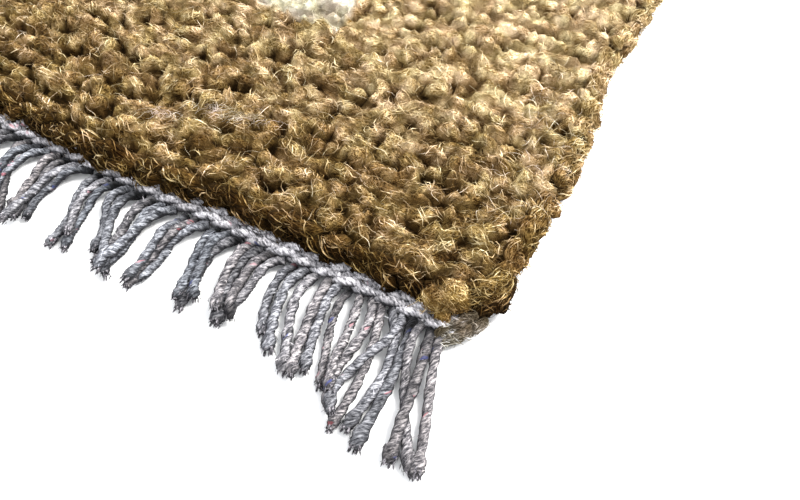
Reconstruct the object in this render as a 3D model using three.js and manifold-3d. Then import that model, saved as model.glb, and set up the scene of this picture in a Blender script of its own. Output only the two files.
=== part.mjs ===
// A small hand-knotted Nepalese wool rug with a deep shaggy pile and a corded fringe at both ends.
// Millimetres, +Z up. The origin is on the floor under the middle of the rug, with the length along Y.
import * as THREE from "three";
import { mergeVertices } from "three/addons/utils/BufferGeometryUtils.js";
import Module from "manifold-3d";

const wasm = await Module();
wasm.setup();

// Driving sizes of the whole rug
const RUG_WIDTH = 600;
const WOVEN_LENGTH = 896;
const GROUND_THICKNESS = 3;
const PILE_TOP = 20;
const GAP = 0.3;

// Twined heading that locks the last weft: a raised crest at every stitch, a dip between
const HEADING_WIDTH = 8;
const HEADING_HEIGHT = 7.5;
const HEADING_DIP = 0.76;
const STITCH_PITCH = 12;
const STITCH_SLANT = 1.2;

// Warp cords that hang from the heading. Near the corners they are closer, longer and fan outwards.
const CORDS_PER_END = 87;
const OUTERMOST_CORD = 281.5;
const CORNER_CROWDING = 0.12;
const CORD_THICKNESS = 4.4;
const CORD_ROOT_DEPTH = 3;
const CORD_REACH = 41;
const CORD_UNEVENNESS = 6;
const CORNER_EXTRA_REACH = 27;
const CORNER_SPAN = 100;
const CORNER_FAN = 22;
const CORNER_FAN_SPAN = 75;

// Between the corners the cords drift to one side and back, and draw together in threes
const CORDS_PER_CLUMP = 3;
const CLUMP_DRAW = 0.8;
const DRIFT = 4.5;
const DRIFT_SPAN = 47;

// Woven ground under the pile, a little narrower than the pile and with worn round corners
const GROUND_INSET = 3;
const GROUND_CORNER_RADIUS = 16;
const GROUND_EDGE_STEP = 20;

// Wool pile: rows of knots run across the rug, each a ridge of locks with a furrow beside it
const KNOT_ROWS = 72;
const PILE_COLUMNS = 11;
const FURROW_DEPTH = 3.5;
const LUMP = 1.5;
const ROW_WANDER = 1.2;
const COLUMN_WANDER = 9;
const PILE_SETBACK = 4;
const BROW_INSET = 12;
const BROW_CORNER_RADIUS = 14;
const LOCKS_PER_END = 21;
const LOCK_WIDTH = 13;

// Where the long sides wander in and out.
// Columns: side, middle of the bulge along the length, its half length, how far it goes outwards.
const SIDE_BULGES = [
  { side: +1, middle: -345, half: 75, out: 3.5 },
  { side: +1, middle: -255, half: 60, out: -5 },
  { side: +1, middle: -60, half: 140, out: 2.5 },
  { side: +1, middle: 190, half: 120, out: -3 },
  { side: +1, middle: 380, half: 70, out: 3 },
  { side: -1, middle: -300, half: 110, out: 3 },
  { side: -1, middle: -70, half: 120, out: -3.5 },
  { side: -1, middle: 160, half: 110, out: 3 },
  { side: -1, middle: 345, half: 80, out: -3 },
];

const COLOURS = {
  pile: new THREE.MeshStandardMaterial({ color: 0x94794c, roughness: 0.95, metalness: 0 }),
  ground: new THREE.MeshStandardMaterial({ color: 0x77767c, roughness: 0.92, metalness: 0 }),
  cotton: new THREE.MeshStandardMaterial({ color: 0x8f8e96, roughness: 0.9, metalness: 0 }),
};

// A repeatable number from 0 to 1 for each whole-number key, so that every run makes the same rug.
function chance(key, salt) {
  let bits = Math.imul(key + 374761393, 668265263) ^ Math.imul(salt + 1013904223, 1597334677);
  bits = Math.imul(bits ^ (bits >>> 15), 2246822519);
  bits = Math.imul(bits ^ (bits >>> 13), 3266489917);
  return ((bits ^ (bits >>> 16)) >>> 0) / 4294967296;
}

function between(low, high, key, salt) {
  return low + (high - low) * chance(key, salt);
}

// A smooth bump that is 1 in the middle and 0 from the half length on.
function bump(distance, half) {
  const t = Math.min(1, Math.abs(distance) / half);
  return 0.5 + 0.5 * Math.cos(Math.PI * t);
}

function sideWander(side, along) {
  return SIDE_BULGES.filter((row) => row.side === side)
    .reduce((sum, row) => sum + row.out * bump(along - row.middle, row.half), 0);
}

// How far a point of the slab moves sideways so that the whole width follows the wandering edges
function wanderAt(x, y) {
  return (x / (RUG_WIDTH / 2)) * sideWander(x < 0 ? -1 : 1, y);
}

// Closed solids from rings of points. Each ring has the same number of points, turning the same way.
function loft(rings) {
  const count = rings[0].length;
  const positions = rings.flat(2);
  const faces = [];
  for (let r = 0; r + 1 < rings.length; r++)
    for (let i = 0; i < count; i++) {
      const j = (i + 1) % count;
      const [a, b, c, d] = [r * count + i, r * count + j, (r + 1) * count + j, (r + 1) * count + i];
      faces.push(a, b, c, a, c, d);
    }
  const last = (rings.length - 1) * count;
  for (let i = 1; i + 1 < count; i++) {
    faces.push(0, i + 1, i);
    faces.push(last, last + i, last + i + 1);
  }
  return { positions, faces };
}

function toManifold({ positions, faces }) {
  const vertProperties = new Float32Array(positions);
  const triVerts = new Uint32Array(faces);
  return new wasm.Manifold(new wasm.Mesh({ numProp: 3, vertProperties, triVerts }));
}

function geometryToManifold(geometry) {
  const bare = geometry.clone();
  bare.deleteAttribute("normal");
  bare.deleteAttribute("uv");
  const merged = mergeVertices(bare, 1e-3);
  const positions = [...merged.attributes.position.array];
  return toManifold({ positions, faces: [...merged.index.array] });
}

function toMesh(solid, name, material) {
  const { vertProperties, triVerts } = solid.getMesh();
  const geometry = new THREE.BufferGeometry();
  geometry.setAttribute("position", new THREE.BufferAttribute(vertProperties, 3));
  geometry.setIndex(new THREE.BufferAttribute(triVerts, 1));
  geometry.computeVertexNormals();
  const mesh = new THREE.Mesh(geometry, material);
  mesh.name = name;
  return mesh;
}

// Woven ground: warp and weft cloth that the pile is knotted into
function groundWeave() {
  const halfWidth = RUG_WIDTH / 2 - GROUND_INSET;
  const halfLength = WOVEN_LENGTH / 2 - GAP;
  const outline = new THREE.Shape();
  const corner = GROUND_CORNER_RADIUS;
  const edge = (side, y) => side * (halfWidth + sideWander(side, y));
  outline.moveTo(-halfWidth + corner, -halfLength);
  outline.lineTo(halfWidth - corner, -halfLength);
  outline.quadraticCurveTo(halfWidth, -halfLength, edge(1, -halfLength + corner), -halfLength + corner);
  for (let y = -halfLength + 2 * corner; y < halfLength - corner; y += GROUND_EDGE_STEP)
    outline.lineTo(edge(1, y), y);
  outline.lineTo(edge(1, halfLength - corner), halfLength - corner);
  outline.quadraticCurveTo(halfWidth, halfLength, halfWidth - corner, halfLength);
  outline.lineTo(-halfWidth + corner, halfLength);
  outline.quadraticCurveTo(-halfWidth, halfLength, edge(-1, halfLength - corner), halfLength - corner);
  for (let y = halfLength - 2 * corner; y > -halfLength + corner; y -= GROUND_EDGE_STEP)
    outline.lineTo(edge(-1, y), y);
  outline.lineTo(edge(-1, -halfLength + corner), -halfLength + corner);
  outline.quadraticCurveTo(-halfWidth, -halfLength, -halfWidth + corner, -halfLength);
  const geometry = new THREE.ExtrudeGeometry(outline, {
    depth: GROUND_THICKNESS,
    bevelEnabled: false,
    curveSegments: 4,
  });
  return geometryToManifold(geometry);
}

// Pulls a point near the corner of a rectangle inwards, so that the corner becomes an arc
function roundCorner(x, y, halfWidth, halfLength, radius) {
  const intoX = Math.abs(x) - (halfWidth - radius);
  const intoY = Math.abs(y) - (halfLength - radius);
  if (intoX <= 0 || intoY <= 0) return [x, y];
  const pull = Math.max(intoX, intoY) / Math.hypot(intoX, intoY);
  return [
    Math.sign(x) * (halfWidth - radius + intoX * pull),
    Math.sign(y) * (halfLength - radius + intoY * pull),
  ];
}

// Pile: a slab with a ridge for each row of knots, whose edge rolls over the ground in rings
function pileSlab() {
  const columns = PILE_COLUMNS;
  const rows = 2 * KNOT_ROWS;
  const browX = RUG_WIDTH / 2 - BROW_INSET;
  const browY = WOVEN_LENGTH / 2 - PILE_SETBACK - BROW_INSET;
  const underside = GROUND_THICKNESS + GAP;
  const positions = [];
  const faces = [];
  const place = (x, y, z) => positions.push(x + wanderAt(x, y), y, z) / 3 - 1;
  const isFurrow = (r) => r % 2 === 1;

  const top = [];
  for (let r = 0; r <= rows; r++)
    for (let c = 0; c <= columns; c++) {
      const key = r * (columns + 1) + c;
      const onRim = r === 0 || c === 0 || r === rows || c === columns;
      const jogX = onRim ? 0 : between(-COLUMN_WANDER, COLUMN_WANDER, key, 1);
      const jogY = onRim ? 0 : between(-ROW_WANDER, ROW_WANDER, key, 2);
      const x = browX * ((2 * c) / columns - 1) + jogX;
      const y = browY * ((2 * r) / rows - 1) + jogY;
      const sink = (isFurrow(r) ? FURROW_DEPTH : 0) + (onRim ? LUMP : 0);
      const [roundX, roundY] = roundCorner(x, y, browX, browY, BROW_CORNER_RADIUS);
      top.push(place(roundX, roundY, PILE_TOP - sink + between(-LUMP, LUMP, key, 3)));
    }
  const at = (r, c) => top[r * (columns + 1) + c];
  for (let r = 0; r < rows; r++)
    for (let c = 0; c < columns; c++) {
      const [a, b, d, e] = [at(r, c), at(r, c + 1), at(r + 1, c + 1), at(r + 1, c)];
      if ((r + c) % 2) faces.push(a, b, d, a, d, e);
      else faces.push(a, b, e, b, d, e);
    }

  // The brow in order round the slab, counter-clockwise from above
  const brow = [];
  for (let c = 0; c < columns; c++) brow.push([0, c]);
  for (let r = 0; r < rows; r++) brow.push([r, columns]);
  for (let c = columns; c > 0; c--) brow.push([rows, c]);
  for (let r = rows; r > 0; r--) brow.push([r, 0]);

  // Columns: step outwards from the brow, height, how far a furrow steps back, unevenness.
  const rolledEdge = [
    { out: 8, z: 15.5, notch: 2.6, uneven: 0.9 },
    { out: 13, z: 9, notch: 3.6, uneven: 1.2 },
    { out: 10.5, z: underside, notch: 0, uneven: 0 },
  ];
  let inner = brow.map(([r, c]) => at(r, c));
  rolledEdge.forEach((step, level) => {
    const ring = brow.map(([r, c], i) => {
      const onSide = c === 0 || c === columns;
      const notch = onSide && isFurrow(r) ? step.notch : 0;
      const reach = step.out - notch + between(-step.uneven, step.uneven, i, 10 + level);
      const [halfX, halfY] = [browX + reach, browY + reach];
      const u = (2 * c) / columns - 1;
      const v = (2 * r) / rows - 1;
      const [x, y] = roundCorner(u * halfX, v * halfY, halfX, halfY, BROW_CORNER_RADIUS + reach);
      return place(x, y, step.z + between(-step.uneven, step.uneven, i, 20 + level));
    });
    ring.forEach((lower, i) => {
      const j = (i + 1) % ring.length;
      faces.push(inner[i], lower, ring[j], inner[i], ring[j], inner[j]);
    });
    inner = ring;
  });
  const centre = place(0, 0, underside);
  inner.forEach((point, i) => faces.push(point, centre, inner[(i + 1) % inner.length]));
  return toManifold({ positions, faces });
}

// Four-sided lock of wool through a row of sections, from its root in the slab to its tip.
// Each section has a centre, a half width across the lock and a half thickness upwards.
function lock(sections) {
  const first = sections[0];
  const last = sections[sections.length - 1];
  const length = Math.hypot(last.x - first.x, last.y - first.y);
  const across = [-(last.y - first.y) / length, (last.x - first.x) / length];
  const rings = sections.map(({ x, y, z, wide, thick }) => [
    [x + across[0] * wide, y + across[1] * wide, z - thick],
    [x - across[0] * wide, y - across[1] * wide, z - thick],
    [x - across[0] * wide * 0.75, y - across[1] * wide * 0.75, z + thick],
    [x + across[0] * wide * 0.75, y + across[1] * wide * 0.75, z + thick],
  ]);
  return toManifold(loft(rings.map((ring) => ring.reverse())));
}

// A lock that hangs over the heading at one end of the rug
function endLock(end, index) {
  const key = index + (end > 0 ? 1000 : 0);
  const pitch = (RUG_WIDTH - 2 * (BROW_CORNER_RADIUS + BROW_INSET)) / LOCKS_PER_END;
  const x = (index - (LOCKS_PER_END - 1) / 2) * pitch + between(-2, 2, key, 31);
  const lean = between(-3, 3, key, 32);
  const wide = (LOCK_WIDTH / 2) * between(0.8, 1.05, key, 33);
  const edge = WOVEN_LENGTH / 2 - PILE_SETBACK;
  const reach = between(2, 4, key, 34);
  return lock([
    { x, y: end * (edge - 6), z: 13, wide, thick: 4.5 },
    { x: x + lean / 2, y: end * edge, z: 13, wide: wide * 0.95, thick: 4 },
    { x: x + lean, y: end * (edge + reach), z: 12, wide: wide * 0.55, thick: 2 },
  ]);
}

// The loose lock that lies over the front right corner
function cornerLock() {
  const x = RUG_WIDTH / 2;
  const y = -WOVEN_LENGTH / 2;
  return lock([
    { x: x - 38, y: y + 17, z: 14, wide: 7, thick: 4 },
    { x: x - 23, y: y + 13, z: 13.5, wide: 9, thick: 5 },
    { x: x - 11, y: y + 14, z: 10.5, wide: 5, thick: 3.5 },
  ]);
}

function pileWithLocks() {
  const parts = [pileSlab(), cornerLock()];
  for (const end of [-1, 1])
    for (let i = 0; i < LOCKS_PER_END; i++) parts.push(endLock(end, i));
  return wasm.Manifold.union(parts);
}

// Twined heading: a flat-bottomed bar whose top rises and slants stitch by stitch
function headingBar(end) {
  const halfWidth = RUG_WIDTH / 2 - GROUND_CORNER_RADIUS;
  const inner = WOVEN_LENGTH / 2;
  const steps = Math.round((2 * halfWidth) / (STITCH_PITCH / 2));
  const rings = [];
  for (let i = 0; i <= steps; i++) {
    const x = -halfWidth + (2 * halfWidth * i) / steps;
    const isCrest = i % 2 === 0;
    const isTip = i === 0 || i === steps;
    const height = HEADING_HEIGHT * (isCrest ? 1 : HEADING_DIP) * (isTip ? 0.7 : 1);
    const ridge = inner + HEADING_WIDTH * 0.45 + (isCrest ? -STITCH_SLANT : STITCH_SLANT);
    const outer = inner + HEADING_WIDTH * (isCrest ? 1 : 0.9) + between(-0.5, 0.5, i, 40 + end);
    const ring = [
      [x, end * inner, 0],
      [x, end * outer, 0],
      [x, end * outer, height * 0.5],
      [x, end * ridge, height],
      [x, end * inner, height * 0.55],
    ];
    rings.push(end < 0 ? ring.reverse() : ring);
  }
  return toManifold(loft(rings));
}

function cordPosition(index) {
  const share = (2 * index) / (CORDS_PER_END - 1) - 1;
  return OUTERMOST_CORD * ((1 + CORNER_CROWDING) * share - CORNER_CROWDING * share ** 3);
}

// How far a cord's tip moves sideways
function tipShift(index, end) {
  const x = cordPosition(index);
  const fanShare = bump(RUG_WIDTH / 2 - Math.abs(x), CORNER_FAN_SPAN);
  const placeInClump = ((index + (end > 0 ? 1 : 0)) % CORDS_PER_CLUMP) - 1;
  const drift = DRIFT * Math.sin(x / DRIFT_SPAN + end);
  return Math.sign(x) * CORNER_FAN * fanShare - placeInClump * CLUMP_DRAW + drift * (1 - fanShare);
}

// How far a cord reaches beyond the heading
function cordReach(index, end) {
  const cornerShare = bump(RUG_WIDTH / 2 - Math.abs(cordPosition(index)), CORNER_SPAN);
  const uneven = between(-CORD_UNEVENNESS, CORD_UNEVENNESS, index, 50 + end);
  return CORD_REACH + CORNER_EXTRA_REACH * cornerShare + uneven;
}

// One fringe cord: four sides and a flat underside, coming down off the heading to lie on the floor
function fringeCord(index, end) {
  const x = cordPosition(index);
  const root = WOVEN_LENGTH / 2 + HEADING_WIDTH - CORD_ROOT_DEPTH;
  const length = cordReach(index, end) + CORD_ROOT_DEPTH;
  const shift = tipShift(index, end);
  const half = CORD_THICKNESS / 2;
  // Columns: share of the way to the tip, height of the underside.
  const sections = [
    { along: 0, under: 1.6 },
    { along: 0.3, under: 0 },
    { along: 0.65, under: 0 },
    { along: 1, under: 0 },
  ];
  const rings = sections.map(({ along, under }) => {
    const y = end * (root + length * along);
    const middle = x + shift * along ** 1.4;
    const ring = [
      [middle - half, y, under],
      [middle + half, y, under],
      [middle + half * 0.72, y, under + CORD_THICKNESS],
      [middle - half * 0.72, y, under + CORD_THICKNESS],
    ];
    return end < 0 ? ring : ring.reverse();
  });
  return toManifold(loft(rings));
}

function fringe(end) {
  const parts = [headingBar(end)];
  for (let i = 0; i < CORDS_PER_END; i++) parts.push(fringeCord(i, end));
  return wasm.Manifold.union(parts);
}

const rug = new THREE.Group();
rug.add(toMesh(groundWeave(), "ground_weave", COLOURS.ground));
rug.add(toMesh(pileWithLocks(), "pile", COLOURS.pile));
rug.add(toMesh(fringe(-1), "fringe_front", COLOURS.cotton));
rug.add(toMesh(fringe(+1), "fringe_back", COLOURS.cotton));

export default rug;
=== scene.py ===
# %% [markdown]
# # A shaggy hand-knotted rug with a corded fringe
#
# The rug is a wool pile knotted into a grey cotton ground. At both ends a twined heading locks the last
# weft, and the warp hangs out of it as twisted cords. Everything here is soft, so the CAD solids only give
# the sizes and the collision, and each of them is replaced by a finer piece in the same place.
#
# The script loads the imported model first.

# %% Load the imported frame
import math

import bpy
import numpy as np
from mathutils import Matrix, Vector


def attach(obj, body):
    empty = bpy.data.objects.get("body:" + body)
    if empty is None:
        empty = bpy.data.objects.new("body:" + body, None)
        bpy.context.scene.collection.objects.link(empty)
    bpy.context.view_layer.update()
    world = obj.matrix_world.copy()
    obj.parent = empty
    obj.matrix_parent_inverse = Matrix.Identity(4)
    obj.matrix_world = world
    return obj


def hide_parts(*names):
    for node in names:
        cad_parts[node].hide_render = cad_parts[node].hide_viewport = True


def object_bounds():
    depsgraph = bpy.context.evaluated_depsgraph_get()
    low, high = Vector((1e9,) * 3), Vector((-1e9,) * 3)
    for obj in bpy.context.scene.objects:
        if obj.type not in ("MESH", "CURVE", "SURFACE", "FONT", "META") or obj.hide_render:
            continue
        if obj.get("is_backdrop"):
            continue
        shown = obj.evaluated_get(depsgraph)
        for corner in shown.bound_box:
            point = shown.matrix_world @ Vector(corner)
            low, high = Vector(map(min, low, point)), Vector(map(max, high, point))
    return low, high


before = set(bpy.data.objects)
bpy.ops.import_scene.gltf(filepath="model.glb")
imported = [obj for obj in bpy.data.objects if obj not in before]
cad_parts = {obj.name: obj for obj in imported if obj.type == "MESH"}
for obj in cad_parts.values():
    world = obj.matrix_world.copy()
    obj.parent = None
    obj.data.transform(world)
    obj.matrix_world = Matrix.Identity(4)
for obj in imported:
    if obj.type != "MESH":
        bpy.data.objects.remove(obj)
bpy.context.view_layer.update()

MM = 0.001
scene = bpy.context.scene

# %% [markdown]
# ## The camera
#
# The photograph looks down at one corner from close by. A camera is found from a flat thing like this rug
# by asking where its parallel edges would meet, which gives the lens and the two angles, and then how large
# a known length looks, which gives the distance. Those results are simply written down here.

# %% Camera
LENS = 32.1
SENSOR = 36.0
CAMERA_PLACE = (0.336, -0.597, 0.297)
LOOKS_DOWN = math.radians(55.79)
LOOKS_LEFT = math.radians(27.89)

camera_data = bpy.data.cameras.new("camera")
camera_data.lens = LENS
camera_data.sensor_width = SENSOR
camera_data.clip_start = 0.01
camera_data.clip_end = 50
camera = bpy.data.objects.new("camera", camera_data)
scene.collection.objects.link(camera)
sight = Vector((
    -math.sin(LOOKS_LEFT) * math.cos(LOOKS_DOWN),
    math.cos(LOOKS_LEFT) * math.cos(LOOKS_DOWN),
    -math.sin(LOOKS_DOWN),
))
camera.location = CAMERA_PLACE
camera.rotation_mode = "QUATERNION"
camera.rotation_quaternion = sight.to_track_quat("-Z", "Y")
scene.camera = camera
scene.view_settings.view_transform = "Standard"
print("camera looks along", [round(x, 3) for x in sight])

# %% [markdown]
# ## Sizes
#
# The named sizes are those of the rug itself, in millimetres, most of them the same as in its solids.
# Uneven things, such as the wandering sides and the lengths of the cords, come from a small table and from
# a hash of a whole number, so the fine pieces keep to the outline of the plain solids, and every run makes
# the same rug.

# %% Sizes of the rug
HALF_WIDTH = 300
HALF_LENGTH = 448
GROUND_INSET = 3
GROUND_CORNER = 16
ROW_PITCH = 11.9
LUMP_ROWS = 84
LUMP_PITCH_X = 8.8
LUMP_PITCH_Y = 10.3
PILE_CORNER = 17
PILE_SETBACK = 4

HEADING_WIDTH = 8
STITCH_PITCH = 12

CORDS = 87
OUTERMOST_CORD = 281.5
CORNER_CROWDING = 0.12
WARP_PITCH = 6.5
CORD_RADIUS = 2.45
CORD_ROOT_DEPTH = 3
CORD_REACH = 41
CORD_UNEVENNESS = 6
CORNER_EXTRA_REACH = 27
CORNER_SPAN = 100
CORNER_FAN = 22
CORNER_FAN_SPAN = 75

# Columns: side, middle of the bulge along the length, its half length, how far it goes outwards.
SIDE_BULGES = (
    (+1, -345, 75, 3.5),
    (+1, -255, 60, -5),
    (+1, -60, 140, 2.5),
    (+1, 190, 120, -3),
    (+1, 380, 70, 3),
    (-1, -300, 110, 3),
    (-1, -70, 120, -3.5),
    (-1, 160, 110, 3),
    (-1, 345, 80, -3),
)

# Where the pile hangs out over a heading.
# Columns: end, middle of the bulge across the width, its half length, how far it hangs out.
END_BULGES = (
    (-1, 75, 95, 6),
    (-1, 290, 50, -5),
    (-1, -150, 110, 4),
    (+1, 130, 110, 4.5),
    (+1, -120, 100, 4),
)


# %% Repeatable unevenness
def chance(key, salt):
    """A number from 0 to 1 that is always the same for the same key and salt."""
    whole = 0xFFFFFFFF
    bits = ((key + 374761393) * 668265263 ^ (salt + 1013904223) * 1597334677) & whole
    bits = ((bits ^ bits >> 15) * 2246822519) & whole
    bits = ((bits ^ bits >> 13) * 3266489917) & whole
    return (bits ^ bits >> 16) / 4294967296


def between(low, high, key, salt):
    return low + (high - low) * chance(key, salt)


def bump(distance, half):
    """A smooth hill, 1 in the middle and 0 from its half length on."""
    t = np.minimum(1, np.abs(distance) / half)
    return 0.5 + 0.5 * np.cos(math.pi * t)


def side_wander(x, y):
    """How far the long side near this point lies outside its straight line."""
    side = np.where(np.asarray(x) < 0, -1, 1)
    total = np.zeros(np.broadcast(x, y).shape)
    for row_side, middle, half, out in SIDE_BULGES:
        total = total + np.where(side == row_side, out * bump(y - middle, half), 0)
    return total


def wander(x, y):
    """Moves points sideways in proportion, so that the whole width follows the sides."""
    return x + x / HALF_WIDTH * side_wander(x, y)


def hang_out(x, y):
    """How far the pile near this point hangs out over the heading."""
    near_end = np.clip((np.abs(y) - (HALF_LENGTH - 60)) / 60, 0, 1)
    total = np.zeros(np.broadcast(x, y).shape)
    for row_end, middle, half, out in END_BULGES:
        total = total + np.where(np.sign(y) == row_end, out * bump(x - middle, half), 0)
    return np.sign(y) * near_end * total


print("side stands out by", round(float(side_wander(300, -345)), 2), "mm near the front right corner")

# %% [markdown]
# ## Helpers for meshes and node trees
#
# A mesh comes from lists of points and faces. Values that the materials need later, such as how far along a
# lock a point lies, are kept on the points as attributes. Both kinds of node tree are built with the same
# function, which adds a node, sets its options, and fills its sockets with numbers or with other nodes'
# outputs.


# %% Mesh helpers
def mesh_from(name, points, faces, edges=(), smooth=True, **values):
    """A mesh in metres from points in millimetres, with named numbers or vectors kept on its points."""
    mesh = bpy.data.meshes.new(name)
    mesh.from_pydata((np.asarray(points, float) * MM).tolist(), edges, faces)
    for key, numbers in values.items():
        numbers = np.asarray(numbers, np.float32)
        is_vector = numbers.ndim == 2
        layer = mesh.attributes.new(key, "FLOAT_VECTOR" if is_vector else "FLOAT", "POINT")
        layer.data.foreach_set("vector" if is_vector else "value", numbers.ravel())
    if smooth and faces:
        mesh.polygons.foreach_set("use_smooth", [True] * len(mesh.polygons))
    mesh.update()
    return mesh


def object_from(mesh, collection=None):
    thing = bpy.data.objects.new(mesh.name, mesh)
    (collection or scene.collection).objects.link(thing)
    return thing


def add_node(tree, kind, inputs=None, **options):
    """Adds one node. A socket is given by name or by number, and gets a value or another node's output."""
    node = tree.nodes.new(kind)
    for option, value in options.items():
        setattr(node, option, value)
    for key, value in (inputs or {}).items():
        socket = node.inputs[key]
        if isinstance(value, bpy.types.NodeSocket):
            tree.links.new(value, socket)
        else:
            socket.default_value = value
    return node


def new_tree(name, kind, inputs, outputs):
    """A node group whose inputs are name: (socket kind, default) and outputs name: socket kind."""
    tree = bpy.data.node_groups.new(name, kind)
    for key, (socket_kind, default) in inputs.items():
        socket = tree.interface.new_socket(key, in_out="INPUT", socket_type="NodeSocket" + socket_kind)
        if default is not None:
            socket.default_value = default
    for key, socket_kind in outputs.items():
        tree.interface.new_socket(key, in_out="OUTPUT", socket_type="NodeSocket" + socket_kind)
    return tree, tree.nodes.new("NodeGroupInput").outputs, tree.nodes.new("NodeGroupOutput").inputs


def grow(source, tree, name, **values):
    """Runs a Geometry Nodes tree on a mesh and returns the result as a plain object."""
    seedling = object_from(source)
    modifier = seedling.modifiers.new("nodes", "NODES")
    modifier.node_group = tree
    sockets = {s.name: s.identifier for s in tree.interface.items_tree if s.in_out == "INPUT"}
    for key, value in values.items():
        modifier[sockets[key.replace("_", " ")]] = value
    graph = bpy.context.evaluated_depsgraph_get()
    mesh = bpy.data.meshes.new_from_object(
        seedling.evaluated_get(graph), preserve_all_data_layers=True, depsgraph=graph)
    mesh.name = name
    bpy.data.objects.remove(seedling)
    return object_from(mesh)


def triangles(piece):
    return sum(len(p.vertices) - 2 for p in piece.data.polygons)


# %% Node helpers
def math_node(tree, operation, a, b=0.0, c=0.0, clamp=False):
    node = add_node(tree, "ShaderNodeMath", {0: a, 1: b, 2: c}, operation=operation, use_clamp=clamp)
    return node.outputs[0]


def remap(tree, value, low, high, at_low=0.0, at_high=1.0, smooth=False):
    """A value from low to high, stretched to run from at_low to at_high and held there beyond them."""
    sockets = {"Value": value, "From Min": low, "From Max": high, "To Min": at_low, "To Max": at_high}
    kind = "SMOOTHSTEP" if smooth else "LINEAR"
    return add_node(tree, "ShaderNodeMapRange", sockets, interpolation_type=kind).outputs[0]


def split(tree, vector):
    return add_node(tree, "ShaderNodeSeparateXYZ", {0: vector}).outputs


def join(tree, x, y, z):
    return add_node(tree, "ShaderNodeCombineXYZ", {0: x, 1: y, 2: z}).outputs[0]


def noise(tree, place, scale, detail=2.0, roughness=0.5):
    """A cloudy value that is mostly near 0.5."""
    sockets = {"Vector": place, "Scale": scale, "Detail": detail, "Roughness": roughness}
    return add_node(tree, "ShaderNodeTexNoise", sockets).outputs[0]


def mix_colors(tree, factor, first, second):
    """The first colour where the factor is 0, the second where it is 1."""
    return add_node(tree, "ShaderNodeMix", {0: factor, 6: first, 7: second}, data_type="RGBA").outputs[2]


def multiply_colors(tree, first, second):
    sockets = {0: 1.0, 6: first, 7: second}
    return add_node(tree, "ShaderNodeMix", sockets, data_type="RGBA", blend_type="MULTIPLY").outputs[2]


def color_ramp(tree, value, interpolation, *stops):
    """The colour for a value, from (position, colour) pairs."""
    node = add_node(tree, "ShaderNodeValToRGB", {0: value})
    ramp = node.color_ramp
    ramp.interpolation = interpolation
    while len(ramp.elements) < len(stops):
        ramp.elements.new(1.0)
    for element, (position, color) in zip(ramp.elements, stops):
        element.position = position
        element.color = (*color, 1)
    return node.outputs[0]


# %% [markdown]
# ## Fibre detail for the materials
#
# Wool is a bundle of fibres, so its material has a noise drawn out along them. It is a node group, built
# once, with the direction of the fibre as its input, and all the wools use it. A second group gives the
# salt-and-pepper flecks of a yarn spun from mixed waste cotton, to the cords, the heading and the ground.

# %% Node group: streaks along a fibre
streaks, inp, out = new_tree(
    "fibre_streaks", "ShaderNodeTree",
    {
        "Along": ("Vector", None),
        "Scale": ("Float", 1.0),
        "Stretch": ("Float", 8.0),
        "Detail": ("Float", 3.0),
    },
    {"Streaks": "Float"},
)
along, *sides = split(streaks, inp["Along"])
drawn_out = join(streaks, math_node(streaks, "DIVIDE", along, inp["Stretch"]), *sides)
strongest = 0.0
for share, seed in ((1.0, 0.0), (1.7, 7.3)):
    finer = add_node(streaks, "ShaderNodeVectorMath", {0: drawn_out, 1: (share,) * 3, 2: (seed,) * 3},
                     operation="MULTIPLY_ADD")
    grain = noise(streaks, finer.outputs[0], inp["Scale"], inp["Detail"])
    distance = math_node(streaks, "ABSOLUTE", math_node(streaks, "SUBTRACT", grain, 0.5))
    fibre = remap(streaks, distance, 0.0, 0.09, 1.0, 0.0, smooth=True)
    strongest = math_node(streaks, "MAXIMUM", strongest, fibre)
streaks.links.new(strongest, out["Streaks"])

# %% Node group: flecks of mixed cotton
BLUE, RED, PINK, PALE_BLUE = (0.10, 0.13, 0.42), (0.55, 0.14, 0.17), (0.62, 0.36, 0.42), (0.25, 0.48, 0.62)
flecks, inp, out = new_tree(
    "cotton_flecks", "ShaderNodeTree",
    {
        "Place": ("Vector", None),
        "Scale": ("Float", 1700.0),
        "Dark": ("Color", (0.07, 0.07, 0.085, 1)),
        "Middle": ("Color", (0.28, 0.275, 0.31, 1)),
        "Pale": ("Color", (0.82, 0.8, 0.83, 1)),
        "Bright": ("Float", 0.035),
    },
    {"Color": "Color", "Height": "Float"},
)
crumbs = remap(flecks, noise(flecks, inp["Place"], inp["Scale"], 4.0, 0.68), 0.36, 0.64)
mixed = math_node(flecks, "MULTIPLY_ADD", noise(flecks, inp["Place"], 420.0), 0.9, crumbs)
low_mix = mix_colors(flecks, remap(flecks, mixed, 0.52, 0.86), inp["Dark"], inp["Middle"])
high_mix = mix_colors(flecks, remap(flecks, mixed, 0.92, 1.38), low_mix, inp["Pale"])
cells = add_node(flecks, "ShaderNodeTexVoronoi", {"Vector": inp["Place"], "Scale": 560.0})
chosen = add_node(flecks, "ShaderNodeSeparateColor", {0: cells.outputs["Color"]}).outputs
dyed_share = math_node(flecks, "MULTIPLY", math_node(flecks, "LESS_THAN", chosen[0], inp["Bright"]), 0.55)
dyes = color_ramp(flecks, chosen[1], "CONSTANT", (0, BLUE), (0.4, RED), (0.55, PINK), (0.85, PALE_BLUE))
flecks.links.new(mix_colors(flecks, dyed_share, high_mix, dyes), out["Color"])
flecks.links.new(mixed, out["Height"])
print("fibre detail groups:", streaks.name, flecks.name)
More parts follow.
